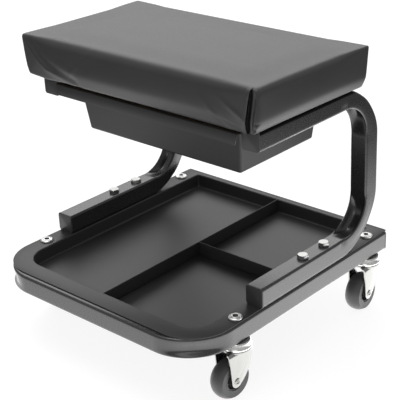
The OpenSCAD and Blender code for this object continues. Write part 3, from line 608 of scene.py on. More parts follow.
def leg(name, side):
    """A leg with its access holes and the number that marks its band of painted shade under the pad."""
    run = LEG_BACK_Y - LEG_BEND - HALF_SIDE - LEG_FRONT_Y
    stations = two_bends(run, LEG_TOP - RIM_Z - TUBE_SIDE - 2 * LEG_BEND, LEG_BEND, fine=1.3)
    corner = [side * LEG_X, LEG_FRONT_Y, RIM_Z + HALF_SIDE]
    piece = tube(name, stations, leg_change, lambda ring: ring[:, [1, 0, 2]] + corner)
    holes = [cylinder_along_z((side * LEG_X, PAD_Y + y, LEG_TOP - TUBE_SIDE - 1), ACCESS_RADIUS, HALF_SIDE)
             for y in (-SEAT_BOLT_Y, SEAT_BOLT_Y)]
    cut_with(piece, together(*holes), 50)
    _, y, z = (coordinates(piece.data) / MM).T
    # The band of painted shade covers the top few millimetres of the tube under the pad, back to the pad's
    # rear end.
    shade_share = smooth((z - SHADE_LOW_Z + SHADE_SLOPE * (y - LEG_FRONT_Y)) / 1.6) * smooth((SHADE_END_Y - y) / 8)
    set_numbers(piece.data, "under_pad_shade", shade_share)
    return piece


for side_name, side_sign in (("left", -1), ("right", 1)):
    settle(leg("leg_tube_" + side_name, side_sign), "chassis", "leg_" + side_name)

# %% [markdown]
# ### Base frame
# The base is a third tube, bent into a U round the front of the tray. Its outer wall is
# only dished at the corners, because the radius is larger. Its lower edge ran on the former
# and keeps its line, and the dish is deepest a little below the middle.

# %% Base frame
RAIL_X, RAIL_Z = 165.0, 74.5
BASE_HALF_D = 190.0
RAIL_BEND = 65.0 - HALF_SIDE
RAIL_END_Y = BASE_HALF_D - 4.8  # the plug's flange, the tray's lip and a gap stand behind it
RAIL_SINK, RAIL_DISH, RAIL_INNER_SHARE = 1.0, 4.6, 0.6
DISH_RISE, DISH_LOW_END, DISH_FALL = 1.35, 0.98, 0.7  # over the wall, from -1 at its top to 1 at its bottom


def rail_change(across, outward, since_a, since_b, bend):
    share = max(bend_share(since, bend, 0.5, 0.0) for since in (since_a, since_b))
    down = across / HALF_SIDE
    dish = RAIL_DISH * smooth((down + 1) / DISH_RISE) * smooth((DISH_LOW_END - down) / DISH_FALL)
    depth = np.where(outward > 0, RAIL_SINK * (1 - down) / 2 + dish, RAIL_INNER_SHARE * dish)
    return across, outward - share * (outward / HALF_SIDE) * depth


def along_rails(ring):
    return np.stack([RAIL_X - ring[:, 2], RAIL_END_Y - ring[:, 0], RAIL_Z + HALF_SIDE - ring[:, 1]], 1)


rail_run = RAIL_END_Y + BASE_HALF_D - RAIL_BEND - HALF_SIDE
rail_stations = two_bends(rail_run, 2 * RAIL_X - 2 * RAIL_BEND, RAIL_BEND)
base_tube = tube("base_tube", rail_stations, rail_change, along_rails)
settle(base_tube, "chassis", "base_frame")

# %% [markdown]
# ### Plugs
# Each open tube end is closed by a pressed-in plastic plug. Its flange is a hair larger
# than the tube and has a soft edge, which catches a thin line of light.

# %% Plugs
CAP_FLANGE, CAP_PLUG = 2.0, 12.0
CAP_HALF = HALF_SIDE + 0.2
CAP_INNER, CAP_EDGE = HALF_SIDE - TUBE_WALL - 0.15, TUBE_EDGE - TUBE_WALL


def put(solid, place, angle=0.0):
    """The solid turned round Z by an angle in degrees and moved to a place."""
    points, faces = solid
    turn = np.array(Matrix.Rotation(math.radians(angle), 3, "Z"))
    return np.asarray(points) @ turn.T + np.array(place), faces


def plug():
    """A plug along +Y, its flange in front of y = 0."""
    rows = [(CAP_INNER - less, y, CAP_EDGE) for less, y in ((0.6, CAP_PLUG), (0, CAP_PLUG - 1.5), (0, 0.0))]
    rows += [(CAP_HALF - less, y, TUBE_EDGE)
             for less, y in ((0, 0.0), (0, -1.2), (0.12, -1.6), (0.4, -1.88), (0.8, -CAP_FLANGE))]
    return joined_rings([[(x, y, z) for x, z in square_section(2 * half_side, radius)]
                         for half_side, y, radius in rows])


leg_plugs = together(*[put(plug(), (sx * LEG_X, LEG_FRONT_Y, z))
                       for sx in (-1, 1) for z in (RIM_Z + HALF_SIDE, LEG_TOP - HALF_SIDE)])
rail_plugs = together(*[put(plug(), (sx * RAIL_X, RAIL_END_Y, RAIL_Z + HALF_SIDE), 180) for sx in (-1, 1)])
settle(made("leg_plugs", leg_plugs, cap_plastic), "chassis", "leg_end_caps")
settle(made("rail_plugs", rail_plugs, cap_plastic), "chassis", "rail_end_caps")

# %% [markdown]
# ## Pressed tray and drawer
# Both are drawn from sheet: every inside and outside corner follows a punch radius. Each is
# made as one skin of rounded outlines, from the outer edge of the rim down to the floor,
# and the Solidify modifier gives it the thickness of the sheet.

# %% Rounded outlines
SHEET, CUT_EDGE, SHEET_EDGE_ANGLE = 1.2, 0.2, 55


def outline(half_w, y0, y1, r_front, r_back, z, steps=14):
    """A rounded rectangle as a ring at height z, which starts at the back right corner."""
    ring = []
    for sx, sy, radius, start in ((1, 1, r_back, 0), (-1, 1, r_back, 90), (-1, -1, r_front, 180),
                                  (1, -1, r_front, 270)):
        cx, cy = sx * (half_w - radius), (y1 - radius) if sy > 0 else (y0 + radius)
        ring += [(x, y, z) for x, y in arc((cx, cy), radius, start, start + 90, steps)]
    return ring


def edged(piece, width, angle):
    """Small rounded edges, as press work has, where faces meet at more than an angle."""
    bevel = piece.modifiers.new("edges", "BEVEL")
    bevel.width, bevel.segments, bevel.limit_method = width * MM, 2, "ANGLE"
    bevel.angle_limit, bevel.use_clamp_overlap = math.radians(angle), True
    return applied(piece)


def thickened(piece, even):
    """Gives a skin the thickness of the sheet, inwards, and rounds its cut edges a little."""
    wall = piece.modifiers.new("sheet", "SOLIDIFY")
    wall.thickness, wall.offset, wall.use_even_offset = SHEET * MM, -1, even
    edged(piece, CUT_EDGE, SHEET_EDGE_ANGLE)
    shade(piece.data, SHARP)
    return piece


def pressing(name, rings, material):
    """A skin through rings, with a floor, as thick as the sheet."""
    points, faces = joined_rings(rings, caps=False)
    faces.append(tuple(range(len(points) - len(rings[0]), len(points))))
    piece = made(name, (points, faces), material)
    if sum(p.normal.z * p.area for p in piece.data.polygons) < 0:
        piece.data.flip_normals()
    return thickened(piece, True)


# %% Tray
TRAY_DEPTH = 19.0
RIM_HALF_W, RIM_FRONT_Y, RIM_FRONT_R, RIM_BACK_R = 175.5, -183.5, 53.0, 2.0
PAN_HALF_W, PAN_FRONT_Y, PAN_BACK_Y, PAN_FRONT_R, PAN_BACK_R = 150.7, -158.4, 180.0, 32.0, 3.0
PAN_FLOOR_Z = RIM_Z - TRAY_DEPTH
PAN_BEND, FLOOR_BEND = 1.8, 2.4
LIP_DEPTH = 8.0


def quarter(count):
    """Sine and cosine of a number of even steps from 0 to a right angle."""
    return [(math.sin(g), math.cos(g)) for g in np.linspace(0, math.pi / 2, count)]


def fuse(piece, other):
    """Joins the mesh of another object to a piece."""
    with edited(piece.data) as bm:
        bm.from_mesh(other.data)
    bpy.data.objects.remove(other)
    return piece


def pan(inset, z):
    return outline(PAN_HALF_W - inset, PAN_FRONT_Y + inset, PAN_BACK_Y - inset,
                   max(PAN_FRONT_R - inset, 0.6), max(PAN_BACK_R - inset, 0.6), z)


tray_rings = [outline(RIM_HALF_W, RIM_FRONT_Y, BASE_HALF_D, RIM_FRONT_R, RIM_BACK_R, RIM_Z)]
tray_rings += [pan(-PAN_BEND + PAN_BEND * s, RIM_Z - PAN_BEND + PAN_BEND * c) for s, c in quarter(6)]
tray_rings += [pan(FLOOR_BEND - FLOOR_BEND * c, PAN_FLOOR_Z + FLOOR_BEND - FLOOR_BEND * s)
               for s, c in quarter(6)]
lip_rows = [(BASE_HALF_D - back, RIM_Z - down) for back, down in (
    (SHEET, 0.3), (0.5, 0.3), (0.15, 0.6), (0, 1.2), (0, SHEET + LIP_DEPTH), (SHEET, SHEET + LIP_DEPTH))]
lip = joined_rings([[(x, y, z) for y, z in lip_rows] for x in (-PAN_HALF_W, PAN_HALF_W)])
back_lip = edged(made("back_lip", lip, sheet_coat), CUT_EDGE, SHEET_EDGE_ANGLE)
tray = fuse(pressing("tray_pressing", tray_rings, sheet_coat), back_lip)
settle(tray, "chassis", "tray")

# %% [markdown]
# ### Dividers
# A divider is a strip folded into an L. Its foot is spot welded to the floor of the pan and
# its upper edge is rolled smooth, which draws the bright line along it.

# %% Dividers
DIVIDER_FOOT, DIVIDER_GAP, DIVIDER_BEND = 8.0, 0.2, 1.8
CROSS_Y = 14.0


def divider(length):
    """A folded strip along +Y with its foot to -X, standing on z = 0."""
    half_t, bend, toe = SHEET / 2, DIVIDER_BEND, -SHEET / 2 - DIVIDER_FOOT
    profile = [(half_t - bend, 0.0)] + arc((half_t - bend, bend), bend, 270, 360, 6)[1:]
    profile += arc((0, TRAY_DEPTH - half_t), half_t, 0, 180, 8)
    profile += arc((-half_t - 0.6, SHEET + 0.6), 0.6, 0, -90, 4)
    profile += [(toe + 0.2, SHEET), (toe, SHEET - 0.2), (toe, 0.0)]
    return joined_rings([[(x, y, z) for x, z in profile] for y in (0, length)])


long_divider = put(divider(PAN_BACK_Y - PAN_FRONT_Y - 2 * DIVIDER_GAP),
                   (0, PAN_FRONT_Y + DIVIDER_GAP, PAN_FLOOR_Z))
cross_divider = put(divider(PAN_HALF_W - SHEET / 2 - 2 * DIVIDER_GAP),
                    (SHEET / 2 + DIVIDER_GAP, CROSS_Y, PAN_FLOOR_Z), -90)
settle(made("long_divider", long_divider, sheet_coat), "chassis", "divider_long")
settle(made("cross_divider", cross_divider, sheet_coat), "chassis", "divider_cross")

# %% [markdown]
# ### Drawer
# The drawer hangs by its flanges in two runners. Its walls lean in as the draw needs, and
# the flange turns down in front into the strip that the fingers pull.

# %% Drawer
DRAWER_Z, FLOOR_DEPTH = 315.2, 65.0 - SHEET
DRAWER_HALF_W, DRAWER_FRONT_Y, DRAWER_BACK_Y = 134.0, -52.0, 101.0
DRAWER_DRAFT, DRAWER_CORNER, TOP_BEND, BOTTOM_BEND = 0.11, 3.5, 1.5, 3.0 - SHEET
FLANGE_HALF_W, FLANGE_FRONT_Y, FLANGE_BACK_Y = 150.5, -76.6, 105.0
PULL_H, PULL_BEVEL, PULL_BEND = 14.5, 4.0, 1.6


def drawer_ring(depth, back=0.0):
    inset = SHEET + depth * DRAWER_DRAFT + back
    radius = max(DRAWER_CORNER - SHEET - back / 2, 1.5)
    return outline(DRAWER_HALF_W - inset, DRAWER_FRONT_Y + inset, DRAWER_BACK_Y - inset, radius, radius,
                   DRAWER_Z - depth)


drawer_rings = [outline(FLANGE_HALF_W, FLANGE_FRONT_Y + PULL_BEND, FLANGE_BACK_Y, 0.6, 0.6, DRAWER_Z)]
drawer_rings += [drawer_ring(TOP_BEND - TOP_BEND * c, -TOP_BEND + TOP_BEND * s) for s, c in quarter(5)]
drawer_rings += [drawer_ring(FLOOR_DEPTH - BOTTOM_BEND + BOTTOM_BEND * s, BOTTOM_BEND - BOTTOM_BEND * c)
                 for s, c in quarter(9)]
pull_path = [(FLANGE_FRONT_Y + PULL_BEND - PULL_BEND * s, DRAWER_Z - PULL_BEND + PULL_BEND * c)
             for s, c in quarter(6)] + [(FLANGE_FRONT_Y, DRAWER_Z - PULL_H)]
pull_points = [(sx * (FLANGE_HALF_W - PULL_BEVEL * (DRAWER_Z - z) / PULL_H), y, z)
               for y, z in pull_path for sx in (-1, 1)]
pull_faces = [(2 * k, 2 * k + 1, 2 * k + 3, 2 * k + 2) for k in range(len(pull_path) - 1)]
drawer = pressing("drawer_pressing", drawer_rings, drawer_coat)
pull = made("pull", (np.array(pull_points), pull_faces), drawer_coat)
if pull.data.polygons[-1].normal.y > 0:
    pull.data.flip_normals()
settle(fuse(drawer, thickened(pull, False)), "drawer_box", "drawer")

# %% [markdown]
# ## Fasteners
# Bolts repeat, so Geometry Nodes make them: one tree builds a head from plain solids, cut
# to shape against each other as a lathe would, and sets it on every point of a small mesh.
# Each point carries its own turn, because no fitter lines up the flats of a bolt.

# %% Bolt trees


def new_tree(name, sizes):
    """A geometry tree whose inputs are points, a material and named sizes."""
    tree = bpy.data.node_groups.new(name, "GeometryNodeTree")
    kinds = {"Points": "Geometry", "Finish": "Material", **{size: "Float" for size in sizes}}
    for key, kind in kinds.items():
        tree.interface.new_socket(key, in_out="INPUT", socket_type="NodeSocket" + kind)
    tree.interface.new_socket("Bolts", in_out="OUTPUT", socket_type="NodeSocketGeometry")
    return tree, tree.nodes.new("NodeGroupInput").outputs


def finish_tree(tree, inputs, *parts):
    """Sets the parts on every point with its own turn, makes the copies real and gives the finish."""
    join = tree.nodes.new("GeometryNodeJoinGeometry")
    for part in parts:
        tree.links.new(output(part), join.inputs[0])
    turn = add(tree, "GeometryNodeInputNamedAttribute", {"data_type": "FLOAT"}, Name="turn")
    angles = add(tree, "ShaderNodeCombineXYZ", Z=turn)
    copies = add(tree, "GeometryNodeInstanceOnPoints", Points=inputs["Points"], Instance=join,
                 Rotation=angles)
    real = add(tree, "GeometryNodeRealizeInstances", Geometry=copies)
    dressed = add(tree, "GeometryNodeSetMaterial", Geometry=real, Material=inputs["Finish"])
    add(tree, "NodeGroupOutput", n0=dressed)
    return tree


def on_points(name, tree, places, turns, finish, sizes, sharp):
    """Runs a tree on points in millimetres and gives the plain mesh that it makes."""
    mesh = bpy.data.meshes.new(name)
    mesh.from_pydata([tuple(c * MM for c in p) for p in places], [], [])
    set_numbers(mesh, "turn", [math.radians(t) for t in turns])
    piece = in_scene(name, mesh)
    modifier = piece.modifiers.new("bolts", "NODES")
    modifier.node_group = tree
    given = {"Finish": finish, **{key: value * MM for key, value in sizes.items()}}
    for item in tree.interface.items_tree:
        if item.in_out == "INPUT" and item.name in given:
            modifier[item.identifier] = given[item.name]
    applied(piece)
    clean(piece.data)
    shade(piece.data, sharp)
    return piece


# %% Hexagon bolts of the legs
HEX_BOLT = {"Flats": 13, "Head height": 4.7, "Washer height": 0.6, "Shank radius": 4, "Shank length": 36}
LEG_BOLT_Y, LEG_BOLT_TURNS = (22.0, 65.0), (12, 41, 23, 5)
CHAMFER_SHARE, WASHER_SHARE = 0.46, 0.48  # radii as shares of the width over the flats


def hexagon_tree():
    """A hexagon cut by a steep cone, on a round washer face, with a shank below."""
    tree, given = new_tree("hexagon_bolts", HEX_BOLT)
    flats, head_h, washer_h, shank_r, shank_l = (given[key] for key in HEX_BOLT)

    divide, multiply, plus, minus = ({"operation": w} for w in ("DIVIDE", "MULTIPLY", "ADD", "SUBTRACT"))

    def cylinder(sides, radius, height, middle):
        solid = add(tree, "GeometryNodeMeshCylinder", Vertices=sides, Radius=radius, Depth=height)
        return add(tree, "GeometryNodeTransform", Geometry=solid,
                   Translation=add(tree, "ShaderNodeCombineXYZ", Z=middle))

    both_h = add(tree, "ShaderNodeMath", plus, n0=head_h, n1=washer_h)
    hexagon = cylinder(6, add(tree, "ShaderNodeMath", divide, n0=flats, n1=math.sqrt(3)),
                       add(tree, "ShaderNodeMath", minus, n0=head_h, n1=washer_h),
                       add(tree, "ShaderNodeMath", divide, n0=both_h, n1=2.0))
    top = add(tree, "ShaderNodeMath", multiply, n0=flats, n1=CHAMFER_SHARE)
    wider = add(tree, "ShaderNodeMath", multiply, n0=head_h, n1=math.sqrt(3))
    cone = add(tree, "GeometryNodeMeshCone", Vertices=72, Radius_Top=top, Depth=head_h,
               Radius_Bottom=add(tree, "ShaderNodeMath", plus, n0=top, n1=wider))
    head = add(tree, "GeometryNodeMeshBoolean", {"operation": "INTERSECT", "solver": "EXACT"}, n1=hexagon)
    tree.links.new(output(cone), head.inputs[1])
    washer = cylinder(72, add(tree, "ShaderNodeMath", multiply, n0=flats, n1=WASHER_SHARE), washer_h,
                      add(tree, "ShaderNodeMath", divide, n0=washer_h, n1=2.0))
    shank = cylinder(32, shank_r, shank_l, add(tree, "ShaderNodeMath", multiply, n0=shank_l, n1=-0.5))
    return finish_tree(tree, given, head, washer, shank)


leg_bolt_places = [(sx * LEG_X, y, RIM_Z + TUBE_SIDE) for sx in (-1, 1) for y in LEG_BOLT_Y]
settle(on_points("hexagon_bolts", hexagon_tree(), leg_bolt_places, LEG_BOLT_TURNS, bolt_zinc, HEX_BOLT, 25),
       "chassis", "leg_bolts")

# %% [markdown]
# The bolts that hold the casters come up through the rail and show as low round heads. The
# rim is turned down, then come a narrow groove, a raised ring and a hole in the middle, whose
# faces are painted a darker zinc as shade. One head is turned from its profile, and a second
# tree sets it on the four places.

# %% Round bolts of the casters
HEAD_PROFILE = [(0, 0), (0, 8.2), (0.6, 8.5), (1.5, 8.4), (2.2, 7.8), (2.6, 7.0), (2.7, 6.4), (2.1, 6.1),
                (2.1, 5.6), (2.8, 5.3), (3.1, 4.7), (3.2, 4.0), (3.0, 3.4), (1.0, 3.1), (0.6, 1.6), (0.6, 0)]
SHADED_HOLE_RADIUS = 3.35
HEAD_TURNS = (8, 31, 17, 49)
SHANK_Z, SHANK_RADIUS, SHANK_IN_HEAD = 54.4, 5.0, 0.2
CASTERS = {"fl": (-165.0, -106.0, 150.0), "fr": (165.0, -106.0, -5.0), "rl": (-165.0, 158.5, -20.0),
           "rr": (165.0, 158.5, 5.0)}  # place and turn of each


def turned(profile, steps=96):
    """A profile of (along, radius) points turned round the X axis. It closes on itself."""
    angle = np.linspace(0, 2 * math.pi, steps, endpoint=False)
    return joined_rings([[(a, r * math.cos(g), r * math.sin(g)) for g in angle] for a, r in profile],
                        closed=True)


def upright(solid):
    """What was turned round X, stood up round Z."""
    points, faces = solid
    return points[:, [1, 2, 0]], faces


one_head = made("one_head", upright(turned(HEAD_PROFILE, 64)), head_zinc)
disc_tree, disc_in = new_tree("round_bolts", [])
finish_tree(disc_tree, disc_in, add(disc_tree, "GeometryNodeObjectInfo", Object=one_head).outputs["Geometry"])
centres = [(x, y) for x, y, _ in CASTERS.values()]
round_heads = on_points("round_bolts", disc_tree, [(x, y, RIM_Z) for x, y in centres], HEAD_TURNS, head_zinc,
                        {}, 30)
bpy.data.objects.remove(one_head)
# The faces inside the hole of each head take the darker zinc of the axle rivets, as painted shade in the hole.
round_heads.data.materials.append(axle_zinc_and_hole_shade)
for face in round_heads.data.polygons:
    if any(math.hypot(face.center.x / MM - x, face.center.y / MM - y) < SHADED_HOLE_RADIUS for x, y in centres):
        face.material_index = 1
shanks = together(*[cylinder_along_z((x, y, SHANK_Z), SHANK_RADIUS, RIM_Z - SHANK_Z + SHANK_IN_HEAD)
                    for x, y in centres])
settle(fuse(round_heads, made("shanks", shanks, head_zinc)), "chassis", "caster_bolts")

# %% [markdown]
# ## Casters
# A light swivel caster: a pressed cup bears on the rail, a pressed fork turns under it, and
# a rubber wheel runs on a riveted axle. The wheels are turned profiles with the parting
# lines and steps of their moulds. The forks keep their CAD form with rounded sheet edges.

# %% Profiles of a wheel and its axle
TRAIL, AXLE_Z = 13.0, 25.5
WHEEL_R, WHEEL_HALF_W = 25.5, 10.5


def mirrored(half_profile):
    """A closed profile from its right half, listed from the inside outwards."""
    return half_profile + [(-a, r) for a, r in half_profile[::-1]]


def tyre_profile():
    """The tread: flat sides up to a crisp moulded edge, and a barrel shaped running face."""
    seat, shoulder, rise = 13.05, 21.4, 22.25
    steps = [(0.9, seat), (0.5, seat + 0.4), (0.5, seat + 1.2), (0.8, seat + 1.6), (0.5, shoulder - 4),
             (0.15, shoulder - 0.6), (0.05, shoulder), (0.25, shoulder + 0.5), (0.75, rise)]
    barrel = [((WHEEL_HALF_W - 0.75) * (1 - share), rise + (WHEEL_R - rise) * (1 - (1 - share) ** 2.4))
              for share in np.linspace(0.1, 0.97, 12)]
    return [(WHEEL_HALF_W - less, r) for less, r in steps] + barrel + [(0.12, WHEEL_R)]


def hub_profile():
    """The wheel centre: a boss round the axle, a thin web and a stepped rim."""
    bore, boss_r, boss_half, web, rim_r, rim_half = 3.08, 6.6, 10.8, 2.5, 13.0, 9.0
    boss = [(boss_half, bore), (boss_half, boss_r - 0.5), (boss_half - 0.5, boss_r)]
    middle = [(web + 1.2, boss_r + 0.5), (web, boss_r + 1.5), (web, rim_r - 3.0), (web + 1.2, rim_r - 1.9)]
    return boss + middle + [(rim_half - less, rim_r - down)
                            for less, down in ((0.5, 1.4), (0, 1.0), (0, 0.3), (0.3, 0))]


def axle_profile():
    """The axle: riveted over at both ends, with a dimple in each head."""
    half_w, head_r, head_h, axle_r = 13.1, 4.5, 1.1, 3.0
    head = [(0.3, 0.0), (0.3, 1.0), (0.9, 1.5), (0.9, 2.1), (0.1, 2.8), (0, 3.2), (0.2, 3.8), (0.55, 4.2),
            (0.95, head_r)]
    return [(half_w + head_h - less, r) for less, r in head] + [(half_w, head_r), (half_w, axle_r)]


# %% Wheels
ROLLING = (
    ("wheel_tread_", turned(mirrored(tyre_profile())), tread_rubber, "wheel_", "wheel_tread", "tyre_"),
    ("wheel_centre_", turned(mirrored(hub_profile())), hub_plastic, "wheel_", "wheel_hub", "hub_"),
    ("riveted_axle_", turned(mirrored(axle_profile()), 48), axle_zinc_and_hole_shade, "swivel_", "bright_zinc", "axle_"))

for key, (x, y, turn) in CASTERS.items():
    angle = math.radians(turn)
    centre = (x + TRAIL * math.sin(angle), y - TRAIL * math.cos(angle), AXLE_Z)
    for name, solid, finish, body, slot, node in ROLLING:
        settle(made(name + key, put(solid, centre, turn), finish, 28), body + key, node + key)

# %% Forks and cups
# The cup: from the rail down its outside to its foot, and up again inside.
CUP_PROFILE = [(74.5, 7.6), (74.5, 15.4), (74.2, 16.4), (73.5, 17.0), (72.4, 17.3), (68.6, 17.9),
               (67.9, 18.3), (67.2, 18.6), (66.7, 18.9), (65.4, 18.9), (65.1, 18.6), (65.1, 17.8),
               (66.6, 17.2), (72.6, 15.8), (73.0, 15.2), (73.0, 7.6)]


def from_cad(node, name, material, edge, sharp=SHARP):
    """A merged copy of a CAD node's mesh, with rounded edges of that width."""
    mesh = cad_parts[node].data.copy()
    mesh.name = name
    with edited(mesh) as bm:
        bmesh.ops.remove_doubles(bm, verts=bm.verts, dist=MERGE_GAP)
        bmesh.ops.dissolve_limit(bm, angle_limit=math.radians(0.5), verts=bm.verts, edges=bm.edges)
    if mesh.has_custom_normals:
        mesh.normals_split_custom_set_from_vertices([(0, 0, 0)] * len(mesh.vertices))
    mesh.materials.clear()
    mesh.materials.append(material)
    piece = edged(in_scene(name, mesh), edge, 40)
    shade(piece.data, sharp)
    return piece


cup = upright(turned(CUP_PROFILE, 72))

for key, (x, y, turn) in CASTERS.items():
    race = made("upper_race_" + key, put(cup, (x, y, 0), turn), cup_zinc, 28)
    settle(race, "chassis", "head_" + key)
    fork = from_cad("fork_" + key, "pressed_fork_" + key, caster_zinc, 0.45, 32)
    settle(fork, "swivel_" + key, "fork_" + key)

# %% [markdown]
# ## CAD pieces that keep their shape
# Nuts, kingpins, the seat board and the runners are small or seen only from below, and
# their CAD form is what the real ones have. They get their finishes here, and the edges of
# the runners are rounded.

# %% Finishes of the kept nodes
KEPT = dict.fromkeys(("leg_nuts", "seat_bolts", "tee_nuts", "caster_nuts", "runner_rivets"), bolt_zinc)
KEPT.update({"kingpin_" + key: caster_zinc for key in CASTERS}, seat_board=plywood)
for node_name, finish in KEPT.items():
    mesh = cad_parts[node_name].data
    mesh.materials.clear()
    mesh.materials.append(finish)
for side_name in ("left", "right"):
    runner = from_cad("runner_" + side_name, "runner_channel_" + side_name, sheet_zinc, 0.25)
    settle(runner, "chassis", "runner_" + side_name)

# %% [markdown]
# ## The upholstered pad
# The pad is foam on the plywood board, wrapped in vinyl that is pulled down and stapled
# underneath. Air pressure in a cloth simulation gives the swell of the foam. The folds at
# the corners come after it, because the remesh would wash them out: the front right corner
# is closed by a tuck that leaves a slit, and the front left one by a slanting fold.

# %% Pad blank
PAD_HALF_W, PAD_HALF_D, PAD_H = 191.4, 104.3, 56.0
PAD_BOTTOM_Z = LEG_TOP + 0.3
PAD_CORE = 16.0
NET_SIZE = 4.0

blank = [outline(PAD_HALF_W, PAD_Y - PAD_HALF_D, PAD_Y + PAD_HALF_D, 3.0, 3.0, PAD_BOTTOM_Z + z, 6)
         for z in (0, PAD_H)]
pad = made("vinyl_pad", joined_rings(blank), cover_vinyl)
net = pad.modifiers.new("net", "REMESH")
net.mode, net.voxel_size, net.use_smooth_shade = "VOXEL", NET_SIZE * MM, True
applied(pad)
print("pad net", len(pad.data.vertices), "points")

# %% Swelling of the foam
SWELL_CAP, SWELL_FRAMES, EVEN_ROUNDS = 5.0, 20, 40
HELD_HEIGHT = 16  # how far up the sides the staples hold the cover
CLOTH = {"quality": 6, "mass": 0.35, "tension_stiffness": 40, "compression_stiffness": 40,
         "shear_stiffness": 20, "bending_stiffness": 4, "use_pressure": True, "uniform_pressure_force": 4}


def evened(values, mesh, rounds):
    """A number on each point, averaged with its neighbours again and again, as foam evens out a cover."""
    edges = np.empty(len(mesh.edges) * 2, int)
    mesh.edges.foreach_get("vertices", edges)
    a, b = edges.reshape(-1, 2).T
    count = np.bincount(edges, minlength=len(values))
    for _ in range(rounds):
        total = np.bincount(a, values[b], len(values)) + np.bincount(b, values[a], len(values))
        values = 0.5 * values + 0.5 * total / count
    return values


def from_core(points):
    """The nearest points of the box inside the foam, and the way from there to the points."""
    low = np.array([-PAD_HALF_W, PAD_Y - PAD_HALF_D, PAD_BOTTOM_Z]) + PAD_CORE
    high = np.array([PAD_HALF_W, PAD_Y + PAD_HALF_D, PAD_BOTTOM_Z + PAD_H]) - PAD_CORE
    core = np.clip(points, low, high)
    way = points - core
    return core, way / np.maximum(np.linalg.norm(way, axis=1), 1e-6)[:, None]


def inflate(piece):
    """Swells the pad with air, while the staples hold its underside. Returns how far each point goes out."""
    start = coordinates(piece.data)
    held = piece.vertex_groups.new(name="held")
    for index, z in enumerate(start[:, 2]):
        share = float(smooth(1 - (z - PAD_BOTTOM_Z * MM) / (HELD_HEIGHT * MM)))
        if share > 0:
            held.add([index], share, "REPLACE")
    cloth = piece.modifiers.new("air", "CLOTH")
    for name, value in CLOTH.items():
        setattr(cloth.settings, name, value)
    cloth.settings.effector_weights.gravity = 0
    cloth.settings.vertex_group_mass = "held"
    cloth.collision_settings.use_collision = False
    cloth.point_cache.frame_start, cloth.point_cache.frame_end = 1, SWELL_FRAMES
    for now in range(1, SWELL_FRAMES + 1):
        scene.frame_set(now)
    graph = bpy.context.evaluated_depsgraph_get()
    moved = coordinates(piece.evaluated_get(graph).data) - start
    piece.modifiers.clear()
    piece.vertex_groups.clear()
    scene.frame_set(1)
    return np.clip((moved / MM * from_core(start / MM)[1]).sum(1), 0, SWELL_CAP)


swell = evened(inflate(pad), pad.data, EVEN_ROUNDS)
print("swell up to", round(float(swell.max()), 2), "mm")
set_numbers(pad.data, "swell", swell)

# %% Finer net where the folds are
FOLD_BOXES = [((150, -130, 310), (215, -60, 400)), ((-200, -130, 310), (-95, -60, 400)),
              ((166, -110, 315), (194, -75, 395)), ((174, 100, 310), (215, 140, 400)),
              ((-215, 100, 310), (-174, 140, 400)), ((-215, -110, 310), (-180, -78, 400))]

finer = pad.modifiers.new("finer", "SUBSURF")
finer.levels = finer.render_levels = 1
applied(pad)
for low, high in FOLD_BOXES:
    with edited(pad.data) as bm:
        inside = [f for f in bm.faces if all(low[k] * MM <= f.calc_center_median()[k] <= high[k] * MM
                                             for k in range(3))]
        edges = {e for f in inside for e in f.edges}
        bmesh.ops.subdivide_edges(bm, edges=list(edges), cuts=1, use_grid_fill=True, smooth=0.0)
print("pad faces", len(pad.data.polygons))

# %% [markdown]
# The remesh rounds every edge alike. A real cover is soft along the top edges, tight at the
# corners and sharp along the hem, so each point is laid on a skin whose roundness changes
# from edge to edge. Its swell is kept, and dies out towards the edges. Below a soft crease
# the sides lean in to the staples, and this low band faces the bright floor.

# %% Skin of the cover
TOP_POWER, FRONT_SOFTER, HEM_POWER = 5.0, 1.4, 14  # the higher the power, the sharper the edge
TIGHT_REAR, TIGHT_LEFT, TIGHT_RIGHT, CORNER_REACH = 18.0, 9.0, 5.5, 60
SWELL_KEPT, SWELL_FADE = 0.45, np.array([55, 55, 20])
PAD_CROWN, PAD_BOW, PAD_REAR_DROP = 1.3, 0.5, 0.07
SIDE_CREASE, SIDE_SOFT, SIDE_SLOPE = 17, 3.5, (0.28, 0.36)
FRONT_CREASE, FRONT_SOFT, FRONT_SLOPE, FRONT_START_X = 15.5, 7, 0.30, -165
BACK_SLOPE = 0.12
HEM_RAISE, HEM_RAISE_REAR, HEM_RAISE_X, HEM_RAISE_H = 3.6, 1.2, 178.2, 12
FLARE_REAR, FLARE_LEFT = 0.3, 0.8


def set_coordinates(mesh, points):
    """Moves the points of a mesh to new places."""
    mesh.vertices.foreach_set("co", np.asarray(points, float).ravel())
    mesh.update()


def lean_in(height, crease, soft, slope):
    """How far a side has moved in at a height below a crease."""
    below = crease - height
    return slope * (np.sqrt(below ** 2 + soft ** 2) + below) / 2


